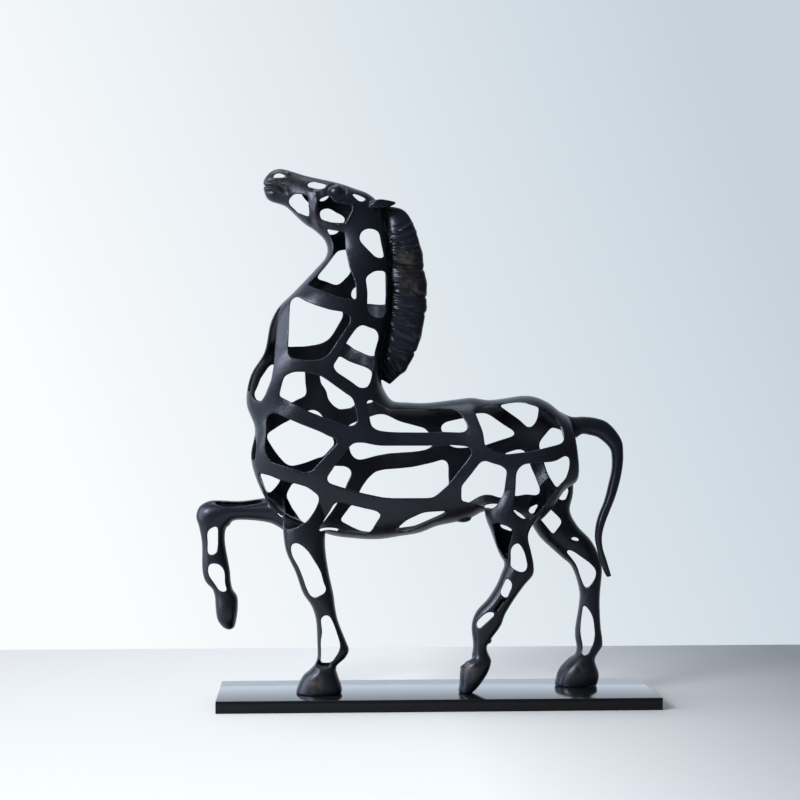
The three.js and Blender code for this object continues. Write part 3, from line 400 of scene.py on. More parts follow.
near_cells = {
    "cheek": [
        (-121.7, 413.8), (-119.5, 410.3), (-116.8, 407.3), (-105.9, 403.1), (-106.6, 419.5),
        (-109.2, 422.1), (-112.6, 421.6), (-114.4, 422.2), (-118, 422), (-122.1, 417.3), (-123, 415.5),
    ],
    "jaw": [
        (-97.2, 416.6), (-98.2, 413.4), (-99.5, 406), (-95, 400.8), (-87.1, 398.5), (-81, 398.1),
        (-75.1, 398.3), (-68.4, 410), (-70, 413), (-83.9, 415.7), (-89.9, 421.2), (-92.1, 419.6),
        (-97, 417.9),
    ],
    "throat": [
        (-91.1, 393.1), (-86.4, 385), (-84.7, 378), (-86.5, 371.5), (-99, 354), (-107, 346.5),
        (-81, 336.2), (-66.1, 334.3), (-66.3, 336), (-66.4, 344.9), (-66.8, 346.8), (-68.4, 352.4),
        (-71.7, 359.7), (-74.6, 373.1), (-75.3, 377), (-75.7, 390.4), (-89.1, 392.5), (-92, 394.2),
    ],
    "lower_mane": [
        (-58.1, 350.5), (-56.8, 340.8), (-57.1, 327), (-55, 322.5), (-50.5, 319.5), (-44.3, 319.2),
        (-41.6, 323.5), (-42.1, 333.4), (-41.2, 339.2), (-41.2, 355), (-42.6, 358.3), (-50.5, 358.2),
        (-53.9, 356.3), (-57.1, 353.8), (-58.4, 352.4),
    ],
    "shoulder": [
        (-121.3, 287.4), (-120, 285.8), (-108, 283.6), (-96.3, 284.2), (-89.3, 288.8), (-71.3, 315.5),
        (-71.4, 321), (-77.7, 324.1), (-87.7, 325.6), (-99.4, 329.2), (-108.5, 332.9), (-115, 336.6),
        (-117.2, 336), (-118.8, 335), (-120.6, 332.6), (-121.2, 331), (-121.3, 329), (-122.7, 295),
        (-122.7, 289),
    ],
    "withers": [
        (-66.9, 309.3), (-72.6, 301.3), (-79.1, 289.1), (-85.5, 279), (-83.1, 274.9), (-81.4, 273.3),
        (-71.3, 266.8), (-63.4, 260.8), (-58.2, 260.9), (-56.8, 261.6), (-54.4, 266.1), (-51.6, 279.9),
        (-51.1, 285.9), (-51.2, 290), (-47.4, 303.4), (-48, 305.5), (-50.1, 309.4), (-55.8, 311.2),
        (-60.9, 313.4), (-62.5, 312.8), (-65.7, 310.7),
    ],
    "chest_slit": [
        (-126.8, 329.8), (-129.2, 327.1), (-131, 319.5), (-132.7, 305), (-133.7, 291.2), (-134.5, 280.9),
        (-136.7, 267.8), (-142.2, 254), (-145.7, 248.9), (-150.2, 250.2), (-157.7, 262.2), (-167.1, 267.8),
        (-164.3, 305), (-146.4, 332.6),
    ],
    "upper_chest": [
        (-128.5, 253.1), (-104.2, 240.6), (-96.8, 237.9), (-95.1, 236.9), (-73, 228.9), (-68, 229.7),
        (-66.4, 231.4), (-65.1, 233.4), (-67.1, 245.1), (-67.9, 247.2), (-68.1, 249.5), (-69, 251.5),
        (-70.3, 253.3), (-73.7, 255.3), (-91.8, 268.3), (-97, 271.4), (-108.4, 274), (-116, 274.1),
        (-119.6, 273.6), (-125.7, 270.4), (-127.6, 265.1), (-130.2, 254),
    ],
    "lower_chest": [
        (-140.8, 206.3), (-137, 199.4), (-109, 190.4), (-103.1, 191.9), (-81.5, 215.5), (-83.6, 218.5),
        (-89.2, 220.7), (-96.4, 224.4), (-113.3, 231), (-133.5, 240), (-137.5, 239.6), (-140.6, 235.5),
        (-141.8, 208),
    ],
    "armpit": [
        (-147.3, 188.6), (-142, 173), (-138, 168.6), (-128, 162.9), (-125.4, 158), (-125.6, 143.4),
        (-118, 144.2), (-108.6, 148.7), (-104.8, 153), (-101.5, 157.6), (-99.5, 161.4), (-97.1, 167.5),
        (-97.1, 169.3), (-97.7, 171.1), (-98.7, 172.5), (-101.8, 174.4), (-104.8, 177), (-110, 179.6),
        (-130, 184.4), (-137.1, 187.7), (-148, 190.5),
    ],
    "upper_barrel": [
        (-57.4, 245.5), (-55.7, 239.5), (-53.8, 229.6), (-51.2, 227), (-47.9, 225.4), (-40, 224.3),
        (-31.9, 223.9), (-7.8, 223.7), (4.3, 224.3), (20.4, 223.7), (24.3, 224.2), (25.9, 225.8),
        (26.8, 228), (25.5, 231.8), (20.1, 240.1), (14, 243.1), (-38, 242.9), (-55.5, 251.5), (-57, 249.9),
        (-57.9, 247.6),
    ],
    "middle_barrel": [
        (-83.7, 196.8), (-85.6, 193.4), (-90.2, 186.9), (-90.9, 185), (-89.9, 183.1), (-88.6, 181.6),
        (-73.3, 176.7), (-61.7, 173.5), (-44, 169.7), (-36, 169.1), (-5.9, 169.1), (-1.5, 169.9),
        (0.1, 171), (10.1, 179.7), (30.4, 206), (28.4, 211.5), (21.9, 212.6), (12.1, 213.2), (-7.6, 212.6),
        (-45, 212.6), (-50.8, 213.2), (-60, 215.2), (-66, 215.2), (-68.1, 215), (-69.8, 213.9),
        (-71.3, 212.4),
    ],
    "lower_barrel": [
        (-84.1, 164.7), (-85.6, 163.2), (-87.3, 159.5), (-91.9, 152.6), (-98.2, 141.8), (-90, 143.1),
        (-58, 139.7), (-53.7, 141.7), (-49.8, 148.5), (-45.5, 154.9), (-46.6, 156.4), (-50.2, 158.6),
        (-57.8, 160.2), (-77, 165), (-82.5, 165.9),
    ],
    "belly": [
        (-33.6, 140.8), (-22, 142), (8.9, 155.6), (8.8, 158.3), (-8, 157.3), (-11.5, 156.5),
        (-21.8, 151.8), (-25.2, 149.9), (-35.5, 140.6),
    ],
    "flank": [
        (21.6, 176.8), (21.6, 166.7), (37, 163.2), (43.6, 159.2), (49.6, 161.2), (51, 162.5),
        (53.9, 167.8), (56.1, 170.9), (57.3, 174.7), (59.6, 192), (54.7, 196), (46.8, 198.1), (43, 199.7),
        (41, 200.1), (39.2, 199.6), (37.7, 198.9), (35.1, 195.9), (30.3, 189.5), (21.6, 178.8),
    ],
    "croup": [
        (32.8, 241.1), (39.3, 224.9), (40.2, 221), (41.1, 213), (48.3, 207.8), (59.5, 205.4),
        (79.8, 207.8), (101.7, 213.2), (105.5, 214.5), (107.7, 217.1), (107, 225.8), (100.8, 236.2),
        (92, 243), (80, 247.6), (70, 248.8), (45, 246.8), (32.1, 242.8),
    ],
    "buttock": [
        (67.4, 187.6), (67, 177.3), (66.3, 169.1), (64.7, 158.5), (69, 154.1), (73.8, 150.9),
        (77.5, 148.9), (88, 159.3), (109, 185), (112.2, 194.5), (112.1, 202), (110.4, 203.5),
        (108.7, 204.4), (103.9, 201.4), (100.2, 199.6), (96, 198.9), (75.6, 197.4), (73.6, 196.8),
        (70.3, 194.4), (68.3, 191.3), (67.6, 189.7),
    ],
    "forearm": [
        (-120.2, 126), (-119.4, 122.1), (-118.7, 120.4), (-113.8, 111.8), (-110.7, 104.2), (-107.4, 94.3),
        (-104.7, 88.8), (-101, 86.2), (-93.3, 89.8), (-91.7, 91.2), (-91.1, 94.6), (-93.2, 98.1),
        (-95.1, 105.9), (-96.5, 109.5), (-98.5, 113), (-105.9, 124.8), (-111, 129.7), (-115.5, 132.2),
        (-117.5, 132.1), (-119.4, 131.3), (-120.3, 129.7), (-120.6, 128),
    ],
    "fore_cannon": [
        (-95.6, 68), (-94.3, 58), (-95.6, 50.2), (-95.3, 40.2), (-95.6, 34.5), (-96, 32.8), (-90.4, 32.6),
        (-86.5, 33.1), (-81.3, 40.6), (-80.5, 42.3), (-79.5, 46), (-79.9, 49.6), (-84.6, 63.8),
        (-87.8, 70.6), (-90.5, 72.4), (-92.2, 72), (-94, 71.1), (-95.4, 69.9),
    ],
    "gaskin": [
        (62.5, 112.7), (63.8, 110.6), (69, 107.6), (73, 106.8), (75.9, 108.6), (76.8, 113), (74.7, 122.2),
        (73.2, 125.7), (71.4, 128.9), (70.4, 130.3), (68.2, 131.4), (64.9, 129.3), (62.8, 125.8),
        (63, 117),
    ],
    "hock": [
        (58.8, 101.1), (53.9, 90.5), (54.6, 88.7), (56.1, 87.1), (58.1, 85.8), (60, 85.7), (61.3, 89.4),
        (63.1, 92.9), (64.1, 96.5), (62.9, 99.4), (59.5, 102.4),
    ],
    "hind_cannon": [
        (34.1, 63.2), (34.9, 60.9), (36.5, 59.9), (47.4, 69.6), (48.9, 71.4), (49.5, 73.2), (45.5, 74),
        (42.2, 73), (39.1, 70.6), (36.3, 67.8), (34, 64.9),
    ],
    "breast_under": [
        (-145.8, 176.5), (-139.1, 170.3), (-133, 166.1), (-127.9, 162.4), (-125.2, 159.4), (-126.6, 154.9),
        (-131.3, 156.1), (-138.1, 160.4), (-144.1, 166.7), (-147.5, 173.1),
    ],
    "breast_notch": [
        (-150.1, 222.9), (-148.7, 212.6), (-150.1, 200.4), (-157.4, 199.5), (-160.2, 212.6), (-156, 223.6),
    ],
}
near_hind_outer_cells = {
    "stifle": [
        (47.9, 145.1), (51.8, 128.5), (60.4, 115.6), (60.9, 127), (63.2, 134.9), (64.8, 142.2),
        (57.4, 146.4), (52.1, 148.3), (47.5, 146.9),
    ],
    "shank": [
        (51, 74.2), (57.2, 82.9), (60, 83.6), (58.9, 85.4), (55, 84.5), (50.5, 78.4), (48.5, 74.8),
    ],
}
near_hind_slit = [(52.6, 147.6), (60, 145.2), (65, 142), (63.4, 141.1), (55.8, 143.8)]
far_cells = {
    "cheek": [
        (-123, 412.9), (-119, 406.5), (-104, 402), (-104.7, 411.9), (-110.9, 420.1), (-112.6, 423.6),
        (-122, 420.5), (-124, 414.5),
    ],
    "jaw_corner": [
        (-99.8, 416), (-94.1, 416.1), (-92.4, 416.7), (-90.8, 417.9), (-88.2, 421), (-92, 423.6),
        (-98.9, 421),
    ],
    "jaw": [
        (-96.1, 403.2), (-89.3, 388), (-85.7, 388.2), (-82.3, 389.2), (-80.9, 390.8), (-75.8, 400),
        (-75.4, 401.8), (-78.4, 404.5), (-82.3, 406.2), (-87.6, 409.5), (-89.4, 410.3), (-92.8, 409.7),
        (-96.2, 408.2), (-97, 405),
    ],
    "throat": [
        (-81.4, 374.7), (-82.7, 373.4), (-90.8, 362.5), (-97.1, 355.1), (-98.4, 353.1), (-98.4, 351.2),
        (-92.3, 349.7), (-84.3, 346.5), (-82.2, 346.2), (-78.5, 348.5), (-71.5, 355.9), (-71.2, 358.4),
        (-68.3, 361.1), (-69.5, 376), (-77.6, 375.5),
    ],
    "neck_sliver": [
        (-65, 346), (-69.3, 342.5), (-70.5, 339.1), (-70.3, 337.1), (-69.6, 335.7), (-66, 333.7),
        (-61.1, 335.1), (-60.5, 344),
    ],
    "lower_mane": [
        (-58, 331.1), (-46, 330), (-44, 330), (-41.9, 330.8), (-40, 331), (-41, 360), (-51, 360),
        (-60, 353.5), (-60, 331),
    ],
    "shoulder": [
        (-124.4, 295.7), (-122.2, 294.8), (-115.8, 295.2), (-110, 295.2), (-100.1, 296.6), (-94.4, 298.1),
        (-89, 301.2), (-85.2, 306.4), (-78, 318.9), (-77.1, 323), (-79.2, 326.8), (-112, 339),
        (-120.5, 338), (-124, 330), (-123.8, 308.3),
    ],
    "withers_top": [
        (-76.4, 298.5), (-72.7, 297), (-69.5, 294.1), (-66, 291.9), (-63.9, 291.5), (-62.1, 290.7),
        (-60.4, 289.5), (-54.6, 287.3), (-52, 287.8), (-50, 287.5), (-46.2, 289.9), (-45.4, 303),
        (-50, 311.5), (-61, 317), (-68, 312),
    ],
    "withers_low": [
        (-85, 277.3), (-81, 270.6), (-64, 259.6), (-56.5, 259.7), (-52.6, 264), (-53.5, 275.4),
        (-55.3, 275.7), (-56.5, 277.1), (-58.3, 277.9), (-71.8, 282.5), (-80.3, 287.5), (-85.9, 279),
    ],
    "chest_slit": [
        (-150.3, 253.8), (-149, 250.3), (-143.5, 249.5), (-134, 274), (-134.1, 280.9), (-137.6, 279.6),
        (-138.9, 278.2), (-145.6, 268.4), (-147.6, 262.7), (-151, 255.6),
    ],
    "chest_top": [
        (-129.8, 254), (-120, 248.2), (-116.7, 250.4), (-109, 253.8), (-107.9, 255.4), (-107.5, 257.3),
        (-108.6, 265.2), (-108.9, 275.4), (-123, 275.4), (-129.5, 267), (-131.5, 255),
    ],
    "scapula": [
        (-96.9, 272.8), (-95.4, 264.2), (-92.7, 261.1), (-90.8, 257.7), (-89.7, 251.7), (-85.9, 246.7),
        (-81.9, 243.8), (-79.8, 242.9), (-71.4, 244), (-69.5, 244.7), (-67.9, 247), (-65.9, 247.4),
        (-55.5, 248.1), (-51.1, 249.6), (-54.9, 253), (-64, 251.5),
    ],
    "lower_chest": [
        (-140.3, 220.4), (-139.7, 218), (-138.7, 216.3), (-134.5, 209.5), (-130.8, 204.5), (-125.4, 198.4),
        (-123.7, 197.3), (-119.7, 195.9), (-112.1, 197.7), (-106.5, 199.4), (-99.2, 202.4), (-93.5, 203.8),
        (-84.4, 214.1), (-85.3, 217.8), (-94.7, 237.8), (-95.9, 239.3), (-99.1, 241.8), (-103.1, 242.7),
        (-106.6, 241.6), (-113.7, 238.6), (-118.8, 236), (-121.8, 233.6), (-127.2, 231.1), (-138.7, 223.6),
        (-140.1, 222.4),
    ],
    "armpit_front": [
        (-145.5, 188.6), (-141, 175.5), (-139.7, 174.1), (-137.9, 173.4), (-132.2, 179.4), (-129.8, 183.1),
        (-128.9, 185.2), (-137, 189.7), (-146.5, 190.1),
    ],
    "armpit": [
        (-124.2, 171), (-119.1, 160.5), (-115.4, 155.8), (-113.4, 152.1), (-108.7, 148), (-101, 147),
        (-93.4, 149.4), (-86.3, 158.6), (-81.9, 165.2), (-81, 167.1), (-86.9, 172.1), (-119.2, 182.1),
        (-119.8, 180.2), (-122.9, 175), (-123.8, 173),
    ],
    "arm_slot": [
        (-132.2, 157.2), (-130.4, 159.6), (-128.6, 158.6), (-125.2, 154.6), (-126.6, 153), (-129, 154),
    ],
    "barrel_top": [
        (-72.9, 227.6), (-73.5, 218), (-70.8, 206.4), (-68.3, 203.1), (-64.8, 201.1), (-60.8, 201.4),
        (-49.2, 204.6), (-39.4, 206.4), (-17.5, 207.8), (-9.8, 209), (-6.2, 210.2), (-2.9, 212.4),
        (-1.4, 218), (-6.5, 224.4), (-9.4, 227.3), (-28.9, 232.5), (-32.7, 234), (-39.9, 237.7),
        (-43.7, 238.9), (-48.2, 238.8), (-50.4, 238.3), (-67.2, 232.3), (-72.8, 229.6),
    ],
    "barrel_middle": [
        (-62.7, 172), (-38, 167), (-10, 166.5), (0, 168.5), (11.1, 180), (10.5, 187.9), (10.7, 195.9),
        (10.1, 198), (9.3, 199.7), (7.3, 200.6), (5, 200.9), (-2.7, 198.5), (-18.5, 195), (-30.5, 193.7),
        (-42.6, 192.9), (-50.4, 191), (-56.2, 185.7), (-60.8, 179.4), (-64.6, 172.5),
    ],
    "elbow": [
        (-91.4, 184.2), (-88, 178.6), (-75.7, 176.3), (-74.5, 180.1), (-70.8, 187.7), (-70.2, 189.9),
        (-70.2, 191.8), (-72.6, 194.2), (-75.7, 195.7), (-86.4, 195.9), (-92.5, 186),
    ],
    "lower_barrel": [
        (-78.3, 149.9), (-69.4, 145.1), (-62, 141.9), (-52, 140.8), (-42, 157), (-50, 162.5),
        (-66.1, 166.4), (-71.1, 162.4), (-79.6, 151),
    ],
    "belly_front": [
        (-96.6, 141.6), (-80.9, 142.1), (-78.6, 142.5), (-82.5, 143.8), (-91.9, 144.6), (-96.4, 143.8),
        (-98.5, 141.4),
    ],
    "belly": [
        (-31.7, 143.8), (-28.3, 144.7), (-18.9, 145.9), (-15.3, 147), (6.2, 156.4), (9.7, 159.6),
        (7.2, 160.3), (-3, 161.6), (-14, 159.5), (-27.9, 150.5),
    ],
    "loin": [
        (4.8, 226), (11.2, 213.1), (13.3, 212.1), (17.7, 210.8), (25.6, 211), (29.7, 211.8), (27.5, 236.5),
        (9.3, 232.6), (6.2, 230.8), (4.9, 229.4), (3.9, 227.9),
    ],
    "hip": [
        (32.7, 237.8), (38.4, 212.1), (53.6, 217.2), (63.3, 220.1), (65, 220.9), (66.6, 223),
        (65.6, 224.4), (63.9, 225.8), (56.8, 230.1), (46.7, 237.2), (43.2, 239.2), (39.6, 239.9),
        (34, 239.4), (32.3, 239.6),
    ],
    "croup": [
        (54.5, 245.4), (70.4, 234.1), (76.1, 228.7), (77.7, 227.5), (79.6, 228.1), (81.5, 229.4),
        (84, 232.7), (85.4, 236.6), (86.1, 242.6), (86.9, 244.3), (70.7, 249.5), (53.2, 246.4),
    ],
    "rump": [
        (86.8, 212), (93.3, 190.8), (96, 185.5), (101.5, 177.1), (104.2, 180.4), (107.4, 183.3),
        (111, 188.7), (113, 204), (106.7, 223), (105.2, 226.2), (103.3, 226.1), (98.3, 227.9),
        (96.6, 227.4), (88.6, 217.8), (86.6, 214),
    ],
    "thigh": [
        (57.7, 203.1), (66, 182), (65.4, 170.5), (67.5, 170.5), (75.6, 172.1), (83.8, 171.2),
        (85.7, 171.3), (86.8, 172.9), (87.4, 175.1), (87.2, 177.1), (83, 187.7), (80.5, 193),
        (75.1, 207.5), (72, 209.4), (70.3, 209.5), (66.4, 208.9), (58.7, 206.4), (56.8, 205.3),
    ],
    "flank": [
        (16.5, 181), (19, 166.5), (27, 164.8), (35.8, 170.1), (39.4, 171.5), (43.4, 172), (47.5, 171.4),
        (53.3, 169.3), (57.7, 169.2), (61.1, 178), (61.5, 188), (58, 195), (39, 202.6), (32, 199),
    ],
    "groin": [
        (40.8, 161.8), (43.2, 156.8), (49, 156), (55.2, 158.9), (54.2, 163.7), (48.2, 164.2),
        (44.4, 163.8), (39.9, 162.6),
    ],
    "stifle_slit": [
        (64.9, 158), (64.5, 154), (69.1, 149.1), (74.8, 147), (76, 150.9), (75.4, 152), (71.2, 155.8),
        (67.9, 157.6), (65.1, 159.9),
    ],
    "buttock_corner": [
        (78.5, 159.6), (77.6, 158), (80.2, 155.5), (83.1, 157), (83.1, 158.6), (85.1, 161.4), (86, 164.1),
        (84.7, 163.7), (79.2, 161.1),
    ],
    "buttock_back": [
        (103.8, 167.9), (105, 167), (109, 167.5), (111.2, 174), (110.6, 179), (102.5, 168.8),
    ],
    "upper_thigh": [
        (95, 160.5), (86.6, 152.8), (98.5, 138.3), (105.9, 148.5), (103.8, 152.2),
    ],
    "thigh_lens": [
        (113.6, 134.1), (117.8, 133), (120.1, 132.7), (121.4, 133.2), (118.7, 135.4), (116.1, 136.3),
        (113.8, 135.5), (111.6, 134.2),
    ],
    "gaskin": [
        (110.4, 122.8), (114.1, 118.5), (117.5, 113.8), (119.2, 110), (121.7, 102.1), (124, 96.4),
        (125.1, 94.3), (126.5, 93), (129.9, 95.8), (133.5, 101.2), (134.6, 105.5), (134.3, 107.8),
        (133.6, 109.9), (129.2, 114.4), (116.7, 123.4), (111.5, 125.7), (110.1, 125.2), (109, 124.2),
    ],
    "hind_cannon": [
        (123.6, 78.1), (121.9, 66.1), (121.3, 58), (122, 52.2), (123.3, 46.5), (123.3, 42.7),
        (122.6, 38.8), (122.8, 37), (127.4, 37.4), (131.6, 45.7), (132.7, 49.1), (133.5, 55), (132.5, 65),
        (131.8, 68.8), (131, 70.7), (129.2, 74.4), (125.1, 79.1), (123.6, 79.7),
    ],
    "fore_cannon_top": [
        (-189.6, 140), (-189, 132.1), (-189.3, 126.1), (-188.8, 123.8), (-188.1, 122.1), (-185.9, 122.2),
        (-183.3, 123.2), (-181.6, 124.7), (-180.8, 131), (-180.8, 145.1), (-181.6, 146.5), (-186.4, 144.7),
        (-189.3, 141.8),
    ],
    "fore_cannon_low": [
        (-188.9, 110.1), (-188.8, 107.9), (-187.4, 104.1), (-182.5, 97.5), (-179.6, 92.7), (-176.1, 91.6),
        (-174, 91.8), (-172.9, 92.9), (-173.8, 94.5), (-174.8, 97.8), (-175.2, 101.7), (-175, 105.8),
        (-175.3, 107.7), (-176.5, 111.3), (-180.2, 114.9), (-185.7, 115.4), (-187.3, 115.1), (-189, 112),
    ],
}
arm_groove = [
    (-183.2, 164.6), (-176.3, 162.2), (-167, 162.2), (-158.5, 163.1), (-149, 164.7), (-143.6, 165.4),
    (-144.4, 168.4), (-153.4, 166.6), (-161.9, 165.7), (-174.6, 165.9), (-182.4, 167),
]
belly_slit = [
    (-98.1, 142.0), (-96.2, 144.0), (-93.2, 144.5), (-89.5, 144.7), (-85.8, 144.5), (-82.5, 144.1),
    (-79.5, 142.8), (-77.3, 141.4), (-79.9, 141.3), (-82.8, 142.2), (-86.6, 142.8), (-90.3, 143.0),
    (-94.0, 142.3), (-97.3, 141.2),
]
for outlines, front, back in (
    (through_cells.values(), -75, 75),
    ([belly_slit], -75, 75),
    (near_cells.values(), -75, -0.5),
    (far_cells.values(), 0.5, 75),
    (near_hind_outer_cells.values(), -75, -20),
    ([near_hind_slit], -75, -0.5),
    ([arm_groove], 0.5, 16),
):
    combine(horse, cell_cutter(outlines, front, back), "DIFFERENCE")


# TAIL
# A solid tail, cast with the rump: it is carried out level, turns down and hangs in a long curve to
# a blunt tip behind the hock.
tail_rows = [
    (102.8, 241.9, 109, 215, 0, 10), (114, 236.9, 117.6, 218.9, 0, 8.5), (124, 237, 122.9, 222.2, 0, 7.5),
    (134, 235.9, 129.7, 221.3, 0, 7), (144.3, 232.1, 136.4, 219.2, 0, 6.5), (156, 217.5, 146.3, 210, 0, 6),
    (157.5, 207, 147.8, 202.6, 0, 6), (157, 195.6, 147.6, 192.7, 0, 6),
    (154.5, 182.2, 144.8, 179.7, 0, 5.5), (150.5, 168.9, 141.3, 166.2, 0, 5.5),
    (145.9, 157.3, 137.1, 155.9, 0, 5), (141.9, 147, 134.5, 147, 0, 5), (139.5, 136, 133.5, 136, 0, 4.5),
    (140.3, 126.5, 135.2, 126.5, 0, 4.5), (143.3, 117.1, 138, 116, 0, 4.5),
    (145.9, 108.5, 141.3, 106.9, 0, 4), (147.5, 103.5, 143.8, 102.5, 0, 2),
]
combine(horse, tube_object("tail", [section(row, 24) for row in smooth_rows(tail_rows, 5)]), "UNION")


# MANE
# A hogged mane, cast solid on the crest: a thick roll of locks, each swelling between two grooves,
# that tapers to a point on the withers.
mane_rows = [
    (-35, 411.6, -47, 411.2, 0, 5), (-28.4, 409.9, -45, 406.5, 0, 6.5), (-23.5, 406, -42, 402, 0, 6.5),
    (-17.5, 395, -41.5, 392, 0, 8), (-13.7, 383, -42.8, 379.8, 0, 9), (-10.6, 368, -40.5, 366, 0, 9.5),
    (-8.5, 353, -41.3, 352, 0, 10), (-7.3, 340, -40.1, 340, 0, 10), (-8, 327, -41, 327, 0, 10),
    (-9.8, 315, -43, 314, 0, 9.5), (-12.8, 302, -45.5, 301, 0, 9), (-16.7, 290, -47.5, 288, 0, 8.5),
    (-23.4, 278.5, -48.5, 278, 0, 7.5), (-32, 269.3, -47.5, 272, 0, 6), (-38.3, 263.7, -44, 267.1, 0, 3),
]
mane_rings = [section(row, 48) for row in smooth_rows(mane_rows, 12)]
combine(horse, tube_object("mane", mane_rings), "UNION")


# EARS AND EYES
# Small ears laid back against the mane, and an eye that stands out under the brow on each side.
ear_rows = [
    (-54.5, 416.2, -56, 408.8, 13, 4.5), (-48.5, 417.6, -49.5, 410.6, 14, 4.6),
    (-42, 417.6, -41, 411, 13, 3.5), (-33.5, 416, -33.5, 414, 12, 1.2),
]
eye_centre, eye_depth = (-82.7, 423.9), 14.4
eye_radii = (6.7, 6.8, 6.4)
for side in (1, -1):
    rows = [[*row[:4], side * row[4], row[5]] for row in ear_rows]
    combine(horse, tube_object("ear", [section(row, 20) for row in smooth_rows(rows, 5)]), "UNION")
    bpy.ops.mesh.primitive_uv_sphere_add(segments=32, ring_count=20, radius=1)
    eye = bpy.context.object
    eye.location = Vector(sighted(*eye_centre, side * eye_depth)) / 1000
    eye.scale = Vector(eye_radii) / 1000
    bpy.ops.object.transform_apply(location=True, rotation=True, scale=True)
    combine(horse, eye, "UNION")


# THE CASTING
# The whole horse is one casting: its edges are rounded by the mould and the grinding, and its soles
# are ground flat on the plate.
ground, low = 10.3, -60.0
fine_voxel = 0.0008
most_triangles = 192000
around = ((-300, -200), (300, -200), (300, 200), (-300, 200))
corners = [(x, y, z) for z in (low, ground) for x, y in around]
use_alone(horse)
horse.data.remesh_voxel_size = fine_voxel
bpy.ops.object.voxel_remesh()
rounding = horse.modifiers.new("rounding", "SMOOTH")
rounding.factor = 0.5
rounding.iterations = 5
bpy.ops.object.modifier_apply(modifier=rounding.name)


def carve(piece, strokes):
    """Raises or sinks the surface along drawn lines: height, width and points, on both sides alike."""
    mesh = piece.data
    points = np.empty(len(mesh.vertices) * 3)
    normals = np.empty(len(mesh.vertices) * 3)
    mesh.vertices.foreach_get("co", points)
    mesh.vertex_normals.foreach_get("vector", normals)
    points, normals = points.reshape(-1, 3), normals.reshape(-1, 3)
    reach = 1 - points[:, 1] * 1000 / sight[1]
    drawn = np.stack([sight[0] + (points[:, 0] * 1000 - sight[0]) / reach,
                      sight[2] + (points[:, 2] * 1000 - sight[2]) / reach], 1)
    moves = np.zeros(len(points))
    for height, width, line in strokes:
        line = np.array(line, float)
        low, high = line.min(0) - 3 * width, line.max(0) + 3 * width
        near = np.flatnonzero(((drawn > low) & (drawn < high)).all(1))
        best = np.full(len(near), 1e9)
        spot = np.zeros(len(near))
        lengths = np.linalg.norm(np.diff(line, axis=0), axis=1)
        run = np.concatenate([[0], np.cumsum(lengths)])
        for a, b, start, length in zip(line[:-1], line[1:], run, lengths):
            along = np.clip(((drawn[near] - a) @ (b - a)) / length ** 2, 0, 1)
            gap = np.linalg.norm(drawn[near] - a - along[:, None] * (b - a), axis=1)
            spot = np.where(gap < best, (start + along * length) / run[-1], spot)
            best = np.minimum(best, gap)
        taper = np.clip(np.minimum(spot, 1 - spot) * 5 + 0.35, 0, 1)
        moves[near] += height * taper * np.exp(-(best / width) ** 2)
    points += normals * (moves / 1000)[:, None]
    mesh.vertices.foreach_set("co", points.ravel())
    mesh.update()


